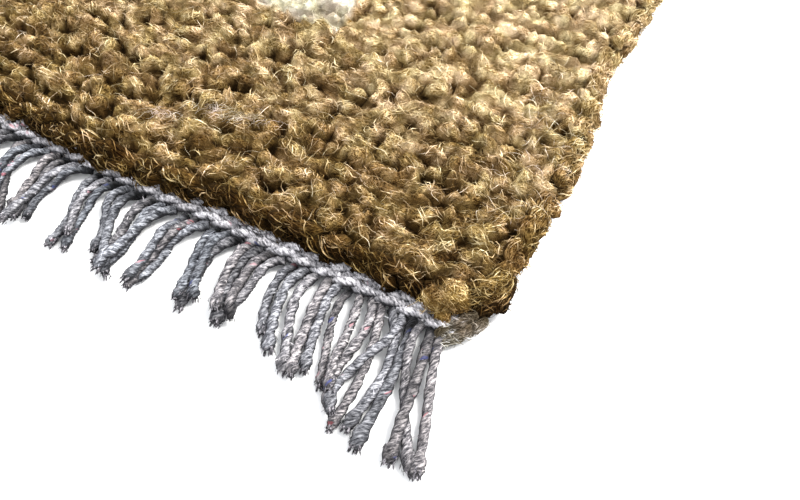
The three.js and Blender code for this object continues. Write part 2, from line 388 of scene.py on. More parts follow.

# %% [markdown]
# ## The materials
#
# Hand-dyed wool is never one colour. Each lock gets its own tone, and streaks run along the fibres. Light
# and shade are painted in as well: a lock is painted dark at its root, as painted shade deep in the pile,
# and pale at its ends, as painted light, and the pile is paler towards the middle of the rug, partly a
# drift in the dye and partly painted light that falls off towards the ends. A pale centre panel uses the
# same material with a second row of colours, chosen by a value on the points. Wool scatters light at
# grazing angles, which is what sheen is for; it is set on the shader, because it is the same all over.


# %% Fabric
def fabric_material(name, roughness, sheen, sheen_tint, specular):
    material = bpy.data.materials.new(name)
    material.use_nodes = True
    tree = material.node_tree
    shader = tree.nodes["Principled BSDF"]
    shader.inputs["Roughness"].default_value = roughness
    shader.inputs["Sheen Weight"].default_value = sheen
    shader.inputs["Sheen Roughness"].default_value = 0.4
    shader.inputs["Sheen Tint"].default_value = (*sheen_tint, 1)
    shader.inputs["Specular IOR Level"].default_value = specular
    return material, tree, shader


def color_and_relief(tree, shader, color, height, strength, distance):
    raised = add_node(tree, "ShaderNodeBump", {"Height": height, "Strength": strength, "Distance": distance})
    tree.links.new(color, shader.inputs["Base Color"])
    tree.links.new(raised.outputs[0], shader.inputs["Normal"])


def attribute(tree, name, output="Fac"):
    return add_node(tree, "ShaderNodeAttribute", attribute_name=name).outputs[output]


def object_place(tree):
    return add_node(tree, "ShaderNodeTexCoord").outputs["Object"]


# %% Wool
CREAM = ((0.46, 0.40, 0.28), (0.65, 0.60, 0.47), (0.86, 0.82, 0.69))
GREENISH, REDDISH = (0.99, 1.02, 0.93, 1), (1.06, 1.0, 1.05, 1)


def wool_material(name, dark, deep, middle, light, panel=CREAM):
    """Wool in four tones, and in three more for the panel."""
    material, tree, shader = fabric_material(name, 0.9, 0.05, (0.8, 0.56, 0.26), 0.02)
    place = object_place(tree)
    streak = add_node(tree, "ShaderNodeGroup", {"Along": attribute(tree, "flow", "Vector"), "Scale": 0.8,
                                                "Stretch": 6.0, "Detail": 2.0}, node_tree=streaks).outputs[0]
    fleece = noise(tree, place, 650.0)
    from_middle = math_node(tree, "ABSOLUTE", split(tree, place)[1])
    # Paler towards the middle of the rug: partly a drift in the dye, partly painted light falling off
    # towards the ends.
    tone = remap(tree, from_middle, 0.25, 0.445, 0.26, -0.26)
    for part, share in ((attribute(tree, "tone"), 0.12), (attribute(tree, "tint"), 0.22), (streak, 0.62),
                        (fleece, 0.5), (attribute(tree, "strand"), 0.8), (noise(tree, place, 24.0), 0.4)):
        tone = math_node(tree, "MULTIPLY_ADD", part, share, tone)
    tone = math_node(tree, "SUBTRACT", tone, 0.64, clamp=True)
    brown = color_ramp(tree, tone, "LINEAR", (0.0, dark), (0.3, deep), (0.6, middle), (1.0, light))
    pale = color_ramp(tree, tone, "LINEAR", *zip((0.0, 0.5, 1.0), panel))
    dyed = mix_colors(tree, attribute(tree, "pale"), brown, pale)
    cast = mix_colors(tree, remap(tree, noise(tree, place, 70.0, 1.0), 0.36, 0.64), GREENISH, REDDISH)
    dyed = multiply_colors(tree, dyed, cast)

    # Painted shade deep in the pile, low on its lumps and between its locks, and painted light on the tops;
    # less of both in the middle of the rug and in the panel.
    lit = math_node(tree, "SUBTRACT", attribute(tree, "root"), attribute(tree, "sunk"))
    painted_depth_shade = remap(tree, lit, -0.05, 0.75, 0.07, 1.12, smooth=True)
    lock_gap_shade_and_relief = add_node(tree, "ShaderNodeTexVoronoi", {"Vector": place, "Scale": 118.0}).outputs["Distance"]
    painted_depth_shade = math_node(tree, "MULTIPLY", painted_depth_shade, remap(tree, lock_gap_shade_and_relief, 0.36, 0.68, 1.12, 0.4))
    calm = remap(tree, from_middle, 0.2, 0.32, 0.1, 0.0)
    painted_depth_shade = add_node(tree, "ShaderNodeMix", {0: calm, 2: painted_depth_shade, 3: 0.85}).outputs[0]
    in_pale = math_node(tree, "MULTIPLY", attribute(tree, "pale"), 0.42)
    painted_depth_shade = add_node(tree, "ShaderNodeMix", {0: in_pale, 2: painted_depth_shade, 3: 1.0}).outputs[0]
    shade = join(tree, painted_depth_shade, math_node(tree, "POWER", painted_depth_shade, 1.12), math_node(tree, "POWER", painted_depth_shade, 1.35))
    height = math_node(tree, "MULTIPLY_ADD", fleece, 0.6, streak)
    height = math_node(tree, "MULTIPLY_ADD", lock_gap_shade_and_relief, -1.6, height)
    color_and_relief(tree, shader, multiply_colors(tree, dyed, shade), height, 0.8, 0.0009)
    return material


wool = wool_material(
    "knotted_wool",
    dark=(0.046, 0.021, 0.004), deep=(0.185, 0.112, 0.033),
    middle=(0.450, 0.305, 0.128), light=(0.860, 0.690, 0.435),
)
ground_wool = wool_material(
    "ground_wool",
    dark=(0.085, 0.078, 0.066), deep=(0.260, 0.244, 0.215),
    middle=(0.500, 0.482, 0.435), light=(0.800, 0.780, 0.730),
)
golden_wool = wool_material(
    "golden_wool",
    dark=(0.105, 0.053, 0.014), deep=(0.265, 0.158, 0.049),
    middle=(0.500, 0.330, 0.126), light=(0.860, 0.650, 0.350),
)
stray_wool = wool_material(
    "stray_fibre",
    dark=(0.20, 0.13, 0.05), deep=(0.36, 0.25, 0.11),
    middle=(0.50, 0.37, 0.19), light=(0.76, 0.63, 0.42),
    panel=((0.62, 0.53, 0.44), (0.80, 0.72, 0.64), (0.95, 0.90, 0.85)),
)


# %% Cotton
def fleck_colors(tree, place, scale, dark, middle, pale, bright):
    sockets = {"Place": place, "Scale": scale, "Dark": (*dark, 1), "Middle": (*middle, 1),
               "Pale": (*pale, 1), "Bright": bright}
    return add_node(tree, "ShaderNodeGroup", sockets, node_tree=flecks).outputs


def cotton_material(name, scale, dark, middle, pale, bright, relief, spun=True):
    """Grey cotton. Where it is spun, its flecks are drawn out along the twist of the yarn."""
    material, tree, shader = fabric_material(name, 0.9, 0.1, (0.9, 0.9, 1.0), 0.1)
    phase = attribute(tree, "phase")
    place = object_place(tree)
    painted_groove_shade = 1.0
    if spun:
        ring = attribute(tree, "ring", "Vector")
        travel = math_node(tree, "MULTIPLY", attribute(tree, "travel"), 0.66)
        travel = math_node(tree, "MULTIPLY_ADD", phase, 0.05, travel)
        place = join(tree, travel, *split(tree, ring)[:2])
        from_axis = add_node(tree, "ShaderNodeVectorMath", {0: ring}, operation="LENGTH").outputs["Value"]
        # Painted shade in the grooves between the plies, which lie nearer the axis, and painted light on
        # their crowns.
        painted_groove_shade = remap(tree, from_axis, 0.0021, 0.0026, 0.76, 1.06)
    yarn = fleck_colors(tree, place, scale, dark, middle, pale, bright)
    soil = remap(tree, noise(tree, place, 45.0), 0.3, 0.7, 0.62, 1.25)
    own = math_node(tree, "SINE", math_node(tree, "MULTIPLY", phase, 37.0))
    shade = math_node(tree, "MULTIPLY_ADD", own, 0.25, soil)
    # The end value darkens the cord: painted shade where it leaves the heading, and darker towards its cut
    # tip and along the corner cords.
    shade = math_node(tree, "MULTIPLY_ADD", attribute(tree, "end"), -0.6, shade)
    # Painted shade: faces turned sideways or down are darkened and faces turned up lightened, fixed to world
    # up.
    upwards = split(tree, add_node(tree, "ShaderNodeNewGeometry").outputs["Normal"])[2]
    painted_underside_shade = remap(tree, upwards, 0.0, 0.85, 0.16, 1.15, smooth=True)
    shade = math_node(tree, "MULTIPLY", math_node(tree, "MULTIPLY", shade, painted_groove_shade), painted_underside_shade)
    warmth = math_node(tree, "SINE", math_node(tree, "MULTIPLY", phase, 91.0))
    red = math_node(tree, "MULTIPLY", shade, math_node(tree, "MULTIPLY_ADD", warmth, 0.07, 1.0))
    blue = math_node(tree, "MULTIPLY", shade, math_node(tree, "MULTIPLY_ADD", warmth, -0.05, 1.0))
    color = multiply_colors(tree, yarn["Color"], join(tree, red, shade, blue))
    color_and_relief(tree, shader, color, yarn["Height"], 0.8, relief)
    return material


# Columns: scale of the flecks, dark, middle and pale colour, share of dyed flecks, depth of the relief.
cotton = cotton_material("mottled_cotton", 800.0, (0.028, 0.029, 0.034), (0.130, 0.129, 0.143),
                         (0.46, 0.455, 0.48), 0.008, 0.0007)
cut_cotton = cotton_material("cut_cotton", 1100.0, (0.022, 0.021, 0.024), (0.105, 0.098, 0.108),
                             (0.36, 0.34, 0.37), 0.0, 0.0006, spun=False)
heading_cotton = cotton_material("heading_cotton", 800.0, (0.070, 0.070, 0.077), (0.400, 0.392, 0.420),
                                 (0.90, 0.88, 0.92), 0.006, 0.0007)
cotton_hair = cotton_material("cotton_hair", 500.0, (0.12, 0.12, 0.14), (0.40, 0.39, 0.43),
                              (0.88, 0.87, 0.90), 0.01, 0.0002)
ground_hair = cotton_material("ground_hair", 500.0, (0.06, 0.05, 0.035), (0.24, 0.21, 0.16),
                              (0.62, 0.57, 0.48), 0.005, 0.0002, spun=False)


# %% Ground weave
def ground_material(name):
    """Plain weave seen from below: a row for each row of knots, and a bead for each knot along it."""
    material, tree, shader = fabric_material(name, 0.92, 0.1, (0.9, 0.9, 0.9), 0.15)
    place = object_place(tree)
    yarn = fleck_colors(tree, place, 1300.0, (0.035, 0.03, 0.025), (0.17, 0.15, 0.125),
                        (0.52, 0.48, 0.42), 0.004)
    across, along, _ = split(tree, place)
    row = math_node(tree, "SINE", math_node(tree, "MULTIPLY", along, 2 * math.pi / (ROW_PITCH * MM / 2)))
    bead = math_node(tree, "SINE", math_node(tree, "MULTIPLY", across, 2 * math.pi / (WARP_PITCH * MM)))
    weave = math_node(tree, "MULTIPLY_ADD", math_node(tree, "MULTIPLY", row, bead), 0.35, 0.5)
    ridge = math_node(tree, "MULTIPLY_ADD", row, 0.25, weave)
    # Painted shade in the valleys between the rows and beads of the weave.
    painted_valley_shade = remap(tree, ridge, 0.0, 0.8, 0.35, 1.0)
    color = multiply_colors(tree, yarn["Color"], join(tree, painted_valley_shade, painted_valley_shade, painted_valley_shade))
    height = math_node(tree, "MULTIPLY_ADD", yarn["Height"], 0.5, ridge)
    color_and_relief(tree, shader, color, height, 0.9, 0.0012)
    return material


ground_cloth = ground_material("woven_ground")
print("materials:", [m.name for m in bpy.data.materials if m.users or m.use_nodes])

# %% [markdown]
# ## Blades: how one fibre is drawn
#
# A fibre is far thinner than a pixel, so a real one can't be modelled. What the eye sees is a thin bundle,
# and a narrow blade with a point at both ends does that with very few faces. Blades lie on a lock, stand
# off a cord as fuzz, and wander over the pile as stray hairs, so one small helper makes them all.


# %% Blade helper
class Strands:
    """Collects points, faces and their values, and makes one mesh of them."""

    def __init__(self):
        self.points, self.faces = [], []
        self.values = {"root": [], "strand": [], "flow": []}

    def add(self, points, faces, root, strand, flow):
        base = len(self.points)
        self.points.extend(points)
        self.faces.extend([tuple(base + i for i in face) for face in faces])
        self.values["root"].extend(root)
        self.values["strand"].extend([strand] * len(points))
        self.values["flow"].extend(flow)

    def blade(self, line, across, widths, root, strand):
        """A flat blade along a line, with a point at each end and the given widths between."""
        count = len(line)
        points, faces, roots, flow = [line[0]], [], [root[0]], [(0, 0, strand * 9)]
        walked = 0
        for i in range(1, count - 1):
            walked += float(np.linalg.norm(line[i] - line[i - 1]))
            for side in (-0.5, 0.5):
                points.append(line[i] + across[i] * widths[i] * side)
                roots.append(root[i])
                flow.append((walked, widths[i] * side, strand * 9))
        points.append(line[-1])
        roots.append(root[-1])
        flow.append((walked, 0, strand * 9))
        faces.append((0, 1, 2))
        for i in range(count - 3):
            a = 1 + 2 * i
            faces.append((a, a + 2, a + 3, a + 1))
        faces.append((2 * count - 5, 2 * count - 3, 2 * count - 4))
        self.add(points, faces, roots, strand, flow)

    def mesh(self, name):
        return mesh_from(name, self.points, self.faces, **self.values)


def unit(vectors):
    vectors = np.asarray(vectors, float)
    return vectors / np.maximum(np.linalg.norm(vectors, axis=-1, keepdims=True), 1e-9)


# %% [markdown]
# ## A tuft of wool
#
# At the rim the knots lie on their side in rows, like plaits. Hair curves would be the usual tool, but the
# model has to leave Blender as plain faces. So a tuft is a small spindle, which gives it body and shadow,
# with fine blades wound along it and a few that stand off. Fourteen different tufts are enough, because
# every copy is turned, scaled and toned differently.

# %% Tuft shapes
TUFT_KINDS = 14
TUFT_HALF = 8.0
TUFT_THICK = 3.3
TUFT_RINGS = (-1.0, -0.72, -0.3, 0.18, 0.6, 1.0)
TUFT_SIDES = 6
TUFT_BLADES = 24


def tuft_point(share, around, lift, bend):
    """Points on a tuft. Share goes from -1 to 1 along it, around is an angle, lift is the height off it."""
    share = np.asarray(share, float)
    thick = TUFT_THICK * np.maximum(1 - np.abs(share) ** 2.6, 0.02) ** 0.5 + lift
    return np.column_stack([share * TUFT_HALF, np.cos(around) * thick * 1.15 + bend[0] * share ** 2,
                            np.sin(around) * thick * 0.9 + bend[1] * share ** 2])


def tuft_mesh(kind):
    rng = np.random.default_rng(100 + kind)
    strands = Strands()
    bend = rng.uniform((-2.0, -2.5), (2.0, 0.0))
    points, root, flow, faces = [], [], [], []
    for share in TUFT_RINGS:
        around = (np.arange(TUFT_SIDES) + 0.5 * share) * 2 * math.pi / TUFT_SIDES
        lift = rng.uniform(-0.35, 0.35, TUFT_SIDES)
        points.extend(tuft_point(np.full(TUFT_SIDES, share), around, lift, bend))
        root.extend([0.5] * TUFT_SIDES)
        flow.extend((share * TUFT_HALF, a * TUFT_THICK, kind) for a in around)
    for ring in range(len(TUFT_RINGS) - 1):
        for i in range(TUFT_SIDES):
            a, b = ring * TUFT_SIDES + i, ring * TUFT_SIDES + (i + 1) % TUFT_SIDES
            faces.append((a, a + TUFT_SIDES, b + TUFT_SIDES, b))
    faces.append(tuple(range(TUFT_SIDES)))
    faces.append(tuple(reversed(range(len(points) - TUFT_SIDES, len(points)))))
    # The spindle gets a low root value and a low strand tone: painted shade for the wool inside the tuft,
    # under its blades.
    strands.add(points, faces, root, 0.25, flow)
    for blade in range(TUFT_BLADES):
        curls = blade % 6 == 5
        stations = 5 if curls else 4
        t = np.linspace(0, 1, stations)
        start = rng.uniform(-0.95, 0.35)
        share = np.clip(start + (0.5 if curls else rng.uniform(0.6, 1.1)) * t, -1.15, 1.15)
        around = rng.uniform(0, 2 * math.pi) + rng.uniform(0.5, 1.4) * t * (3 if curls else 1)
        lift = 0.25 + rng.uniform(0.2, 1.0) * np.sin(t * math.pi) + (1.4 * t ** 2 if curls else 0)
        line = tuft_point(share, around, lift, bend)
        ahead = unit(np.gradient(line, axis=0))
        outward = np.column_stack([np.zeros(stations), np.cos(around), np.sin(around)])
        across = unit(np.cross(ahead, outward) + rng.uniform(-0.4, 0.4) * outward)
        widths = np.interp(t, (0, 0.3, 0.7, 1), (0, 1, 0.85, 0)) * rng.uniform(0.3, 0.62)
        strands.blade(line, across, widths, np.full(stations, rng.uniform(0.6, 1.0)), rng.uniform(0.1, 1))
    return strands.mesh(f"tuft_{kind}")


def kit(name, meshes):
    """A collection of shapes to copy. It isn't part of the scene."""
    collection = bpy.data.collections.new(name)
    for mesh in meshes:
        object_from(mesh, collection)
    return collection


tufts = kit("tufts", [tuft_mesh(kind) for kind in range(TUFT_KINDS)])

# %% [markdown]
# ## Sowing copies with Geometry Nodes
#
# The rug needs many copies of a few shapes, each one turned its own way. That is instancing: a mesh that
# only has points says where, and the tree puts a randomly picked shape on each. The way a copy lies and its
# size come with the points; the tree adds a random tilt, scale and tone from a fixed seed. It ends by
# turning the instances into real faces, because copies are lost when the model is exported, and by lifting
# what would go through the floor.

# %% Helpers for the node trees
LOWEST_PLACE = (-10.0, -10.0, 0.0001)


def point_value(tree, name, kind="FLOAT"):
    return add_node(tree, "GeometryNodeInputNamedAttribute", {"Name": name}, data_type=kind).outputs[0]


def random_value(tree, inp, low, high):
    """A random number for each copy, from the tree's seed."""
    sockets = {2: low, 3: high, "Seed": inp["Seed"]}
    return add_node(tree, "FunctionNodeRandomValue", sockets, data_type="FLOAT").outputs[1]


def store(tree, geometry, name, value, kind="FLOAT", domain="POINT"):
    node = add_node(tree, "GeometryNodeStoreNamedAttribute",
                    {"Geometry": geometry, "Name": name, "Value": value}, data_type=kind, domain=domain)
    return node.outputs[0]


def copies_on(tree, inp, points, turn, size, tone):
    """A random shape on each point, made real, kept above the floor and given its material."""
    shapes = add_node(tree, "GeometryNodeCollectionInfo",
                      {"Collection": inp["Shapes"], "Separate Children": True, "Reset Children": True})
    pick = add_node(tree, "FunctionNodeRandomValue", {4: 0, 5: 999, "Seed": inp["Seed"]}, data_type="INT")
    copies = add_node(tree, "GeometryNodeInstanceOnPoints",
                      {"Points": points, "Instance": shapes.outputs[0], "Pick Instance": True,
                       "Instance Index": pick.outputs[2], "Rotation": turn, "Scale": size})
    toned = store(tree, copies.outputs[0], "tone", tone, domain="INSTANCE")
    real = add_node(tree, "GeometryNodeRealizeInstances", {"Geometry": toned})
    spot = add_node(tree, "GeometryNodeInputPosition")
    raised = add_node(tree, "ShaderNodeVectorMath", {0: spot.outputs[0], 1: LOWEST_PLACE},
                      operation="MAXIMUM")
    laid = add_node(tree, "GeometryNodeSetPosition",
                    {"Geometry": real.outputs[0], "Position": raised.outputs[0]})
    return add_node(tree, "GeometryNodeSetMaterial",
                    {"Geometry": laid.outputs[0], "Material": inp["Material"]}).outputs[0]


# %% Node tree: sow shapes on points
sow, inp, out = new_tree(
    "sow_shapes", "GeometryNodeTree",
    {
        "Points": ("Geometry", None),
        "Shapes": ("Collection", None),
        "Material": ("Material", None),
        "Smallest": ("Float", 0.85),
        "Largest": ("Float", 1.15),
        "Tilt": ("Float", 0.3),
        "Seed": ("Int", 1),
    },
    {"Pile": "Geometry"},
)
tilt = add_node(sow, "FunctionNodeRandomValue",
                {0: math_node(sow, "MULTIPLY", inp["Tilt"], -1.0), 1: inp["Tilt"], "Seed": inp["Seed"]},
                data_type="FLOAT_VECTOR")
lie = point_value(sow, "turn", "FLOAT_VECTOR")
turned = add_node(sow, "ShaderNodeVectorMath", {0: lie, 1: tilt.outputs[0]}, operation="ADD")
size = random_value(sow, inp, inp["Smallest"], inp["Largest"])
size = math_node(sow, "MULTIPLY", size, point_value(sow, "size"))
sown = copies_on(sow, inp, inp["Points"], turned.outputs[0], size, random_value(sow, inp, 0.0, 1.0))
sow.links.new(sown, out["Pile"])
print("tree", sow.name, "has", len(sow.nodes), "nodes")


# %% Sowing
def spots_mesh(name, places, turns, size, **values):
    """Points that say how each copy is turned, its size, and what its material has to know."""
    values = {key: np.broadcast_to(value, len(places)) for key, value in {"size": size, **values}.items()}
    return mesh_from(name, places, [], turn=turns, **values)


def sow_on(spots, name, shapes, material, smallest, largest, tilt, seed):
    """Copies of the shapes on the spots as one piece, between two sizes and tilted at random."""
    piece = grow(spots, sow, name, Shapes=shapes, Material=material, Smallest=smallest, Largest=largest,
                 Tilt=tilt, Seed=seed)
    print(name, len(spots.vertices), "copies,", triangles(piece), "triangles")
    return piece


# %% [markdown]
# ## The pile
#
# Knots sit in rows across the rug, and each one opens into a soft lump of wool. The lumps run into one
# another: the height of the pile at any place is that of the highest lump there, rounded off where two
# meet, and now and then there is a dark pit between them. So the pile is one fleece on a fine grid. Its
# corners are worn round and leave the ground's own corner bare.


# %% Where the knots are
def smooth_noise(x, y, span, salt):
    """A slow, repeatable wave over the rug from -1 to 1, made of a few sines."""
    total = 0
    for k in range(4):
        angle = between(0, math.pi, k, salt)
        along = (x * math.cos(angle) + y * math.sin(angle)) / (span * between(0.7, 1.3, k, salt + 1))
        total = total + np.sin(2 * math.pi * along + between(0, 6.28, k, salt + 2))
    return total / 2.4


PANEL_HALF_WIDTH = 137
PANEL_HALF_LENGTH = 303


def in_panel(x, y):
    """1 in the pale centre panel and 0 outside it, with a soft and slightly uneven edge."""
    inside_x = PANEL_HALF_WIDTH + 1.6 * smooth_noise(x, y, 23, 150) - np.abs(x)
    inside_y = PANEL_HALF_LENGTH + 1.6 * smooth_noise(x, y, 23, 160) - np.abs(y)
    return np.clip(0.5 + np.minimum(inside_x, inside_y) / 2.5, 0, 1)


def trodden(y):
    """How flat the pile is trodden: not at all near the ends, most in the middle."""
    return np.clip((405 - np.abs(y)) / 100, 0, 1)


# %% Rows of lumps
LUMP_STRAY_X = 2.9
LUMP_STRAY_Y = 2.6
HALF_LENGTHS = (4.8, 8.6)
HALF_WIDTHS = (3.4, 5.4)
LUMP_TOP = 18.4
TOP_SPREAD = (-3.4, 2.2)
LUMP_FOOT = 6.0
CREASE = 4.0

rng = np.random.default_rng(7)
columns = int(2 * (HALF_WIDTH - 3) / LUMP_PITCH_X)
row_index, column_index = np.divmod(np.arange(LUMP_ROWS * columns), columns)
knots = row_index.size
knot_y = (row_index - (LUMP_ROWS - 1) / 2) * LUMP_PITCH_Y + rng.uniform(-LUMP_STRAY_Y, LUMP_STRAY_Y, knots)
knot_x = (column_index - (columns - 1) / 2 + (row_index % 2) * 0.5 - 0.25) * LUMP_PITCH_X
knot_x = knot_x + rng.uniform(-LUMP_STRAY_X, LUMP_STRAY_X, knots)

# %% How each lump lies
lump_turn = 0.6 * smooth_noise(knot_x, knot_y, 95, 60) + rng.uniform(-0.7, 0.7, knots)
lump_flat = trodden(knot_y)
lump_long = rng.uniform(*HALF_LENGTHS, knots) * (1 + 0.1 * lump_flat)
lump_short = rng.uniform(*HALF_WIDTHS, knots)
lump_top = LUMP_TOP + rng.uniform(*TOP_SPREAD, knots) * (1 - 0.5 * lump_flat)
lump_top = lump_top + 1.0 * smooth_noise(knot_x, knot_y, 60, 70)
lump_tone = rng.uniform(0, 1, knots)
print(knots, "lumps,", int(in_panel(knot_x, knot_y).sum()), "of them in the pale panel")


def lump_height(k, x, y):
    """Height of lump k over a place."""
    cos, sin = np.cos(lump_turn[k]), np.sin(lump_turn[k])
    along = (cos * (x - knot_x[k]) + sin * (y - knot_y[k])) / lump_long[k]
    across = (-sin * (x - knot_x[k]) + cos * (y - knot_y[k])) / lump_short[k]
    out = np.hypot(along, across)
    return LUMP_FOOT + (lump_top[k] - LUMP_FOOT) * np.maximum(1 - out ** 2, 0) ** (0.5 + 0.15 * lump_flat[k])


# %% [markdown]
# ### The fleece on its grid
#
# The grid is even in the middle and closer at the rim, where the fleece rolls down over the edge of the
# ground. Its skirt tucks under, and the flat bottom closes it.

# %% Outline with round corners
GRID_STEP = 2.7
PIT_FLOOR = 9.4
LUMP_REACH = 16
RIM_STEPS = (0, 0.5, 1.5, 3.0, 5.0, 7.3)
RIM_ROLL = 9.0
RIM_HEIGHT = 5.5
FLEECE_UNDERSIDE = 3.4
FLEECE_HALF_X = HALF_WIDTH - 2.5
FLEECE_HALF_Y = HALF_LENGTH - PILE_SETBACK - 2


def round_outline(half_x, half_y, radius, step, wandering=True):
    """Points round a rectangle with round corners, counter-clockwise from above."""
    line = []
    for quarter, (sx, sy) in enumerate(((1, -1), (1, 1), (-1, 1), (-1, -1))):
        centre = np.array((sx * (half_x - radius), sy * (half_y - radius)))
        turns = np.linspace(-math.pi / 2, 0, 7) + quarter * math.pi / 2
        line.extend(centre + radius * np.array((math.cos(a), math.sin(a))) for a in turns)
    line.append(line[0])
    points = []
    for a, b in zip(line, line[1:]):
        pieces = max(1, int(np.linalg.norm(b - a) / step))
        points.extend(a + (b - a) * k / pieces for k in range(pieces))
    points = np.array(points)
    if wandering:
        points[:, 0] = wander(points[:, 0], points[:, 1])
    return points


def round_corner(x, y):
    """Pulls points near the corners of the pile inwards, so that the corners become arcs."""
    into_x = np.abs(x) - (FLEECE_HALF_X - PILE_CORNER)
    into_y = np.abs(y) - (FLEECE_HALF_Y - PILE_CORNER)
    at_corner = (into_x > 0) & (into_y > 0)
    pull = np.where(at_corner, np.maximum(into_x, into_y) / np.maximum(np.hypot(into_x, into_y), 1e-6), 1)
    new_x = np.where(at_corner, np.sign(x) * (FLEECE_HALF_X - PILE_CORNER + into_x * pull), x)
    new_y = np.where(at_corner, np.sign(y) * (FLEECE_HALF_Y - PILE_CORNER + into_y * pull), y)
    return new_x, new_y


def settle(x, y):
    """Moves points of the plain rectangle to where they lie in the real, uneven outline."""
    return wander(x, y), y + hang_out(x, y)


# %% Heights of the fleece
def grid_line(half):
    """Places along one side of the grid, from -half to half, closer together near both ends."""
    inner = half - RIM_STEPS[-1]
    count = int(2 * inner / GRID_STEP)
    rim_part = half - np.array(RIM_STEPS[:-1])
    return np.concatenate([-rim_part, np.linspace(-inner, inner, count), rim_part[::-1]])


def softened(values):
    """Each value averaged with its neighbours."""
    total = sum(np.roll(np.roll(values, i, 0), j, 1) for i in (-1, 0, 1) for j in (-1, 0, 1))
    return total / 9


line_x, line_y = grid_line(FLEECE_HALF_X), grid_line(FLEECE_HALF_Y)
grid_x, grid_y = np.meshgrid(line_x, line_y)
bent_x = grid_x + 2.4 * smooth_noise(grid_x, grid_y, 19, 120)
bent_y = grid_y + 1.8 * smooth_noise(grid_x, grid_y, 16, 130)
highest = PIT_FLOOR + 2.4 * trodden(grid_y) + 2.6 * smooth_noise(grid_x, grid_y, 33, 140)
second = np.zeros(grid_x.shape)
grid_lump = np.zeros(grid_x.shape, int)
for k in range(knots):
    across = slice(*np.searchsorted(line_x, (knot_x[k] - LUMP_REACH, knot_x[k] + LUMP_REACH)))
    along = slice(*np.searchsorted(line_y, (knot_y[k] - LUMP_REACH, knot_y[k] + LUMP_REACH)))
    window = (along, across)
    height = lump_height(k, bent_x[window], bent_y[window])
    higher = height > highest[window]
    second[window] = np.where(higher, highest[window], np.maximum(second[window], height))
    highest[window] = np.where(higher, height, highest[window])
    grid_lump[window] = np.where(higher, k, grid_lump[window])
crease = np.clip(1 - (highest - second) / CREASE, 0, 1)
grid_height = highest + crease ** 2 + 1.1 * softened(rng.normal(0, 1.3, grid_x.shape))
from_edge = np.minimum(FLEECE_HALF_X - np.abs(grid_x), FLEECE_HALF_Y - np.abs(grid_y))
rolling = np.clip(from_edge / RIM_ROLL, 0, 1)
fleece_z = RIM_HEIGHT + (grid_height - RIM_HEIGHT) * np.sqrt(1 - (1 - rolling) ** 2)
print("fleece from", round(float(grid_height.min()), 1), "to", round(float(grid_height.max()), 1), "mm high")

# %% Mesh of the fleece
place_x, place_y = settle(*round_corner(grid_x, grid_y))
rows, width = grid_x.shape
index = np.arange(rows * width).reshape(rows, width)
quads = np.stack([index[:-1, :-1], index[:-1, 1:], index[1:, 1:], index[1:, :-1]], -1)
quads = quads.reshape(-1, 4).tolist()
rim_ring = np.concatenate([index[0, :-1], index[:-1, -1], index[-1, :0:-1], index[:0:-1, 0]])
points = np.column_stack([place_x.ravel(), place_y.ravel(), fleece_z.ravel()])
skirt = points[rim_ring] * ((FLEECE_HALF_X - 3) / FLEECE_HALF_X, (FLEECE_HALF_Y - 3) / FLEECE_HALF_Y, 0)
skirt[:, 2] = FLEECE_UNDERSIDE
first = len(points)
count = len(rim_ring)
for i in range(count):
    j = (i + 1) % count
    quads.append((int(rim_ring[j]), int(rim_ring[i]), first + i, first + j))
quads.append(tuple(first + i for i in reversed(range(count))))
lump_of = np.concatenate([grid_lump.ravel(), grid_lump.ravel()[rim_ring]])
turn_of = lump_turn[lump_of]
points = np.concatenate([points, skirt])
flow = np.column_stack([np.cos(turn_of) * points[:, 0] + np.sin(turn_of) * points[:, 1],
                        -np.sin(turn_of) * points[:, 0] + np.cos(turn_of) * points[:, 1],
                        points[:, 2] + 3 * lump_of])
fleece_mesh = mesh_from(
    # The fleece's low strand tone is painted shade for the wool under the fibres, and its root value paints
    # shade below each lump's top.
    "pile_fleece", points, quads, flow=flow, strand=np.full(len(points), 0.3), tint=lump_tone[lump_of],
    root=np.clip(1.0 - (lump_top[lump_of] - points[:, 2]) / 7.2, 0, 1),
    pale=in_panel(np.append(grid_x, skirt[:, 0]), np.append(grid_y, skirt[:, 1])),
)
fleece_mesh.materials.append(wool)
pile_fleece = object_from(fleece_mesh)
pile = [pile_fleece]
print(pile_fleece.name, triangles(pile_fleece), "triangles")

# %% [markdown]
# ### Fibres on the fleece
#
# Wool is matted fibre, so a hundred thousand fine wavy blades lie on the fleece, most of them the way its
# lumps are combed. Some make a loop, and some stand off.


# %% Fibre shapes
def line_along(direction, length):
    """x and y of a line that turns as its directions say, laid around its own middle."""
    step = length / (len(direction) - 1)
    x = np.concatenate([[0], np.cumsum(np.cos(direction[:-1]) * step)])
    y = np.concatenate([[0], np.cumsum(np.sin(direction[:-1]) * step)])
    return x - x.mean(), y - y.mean()


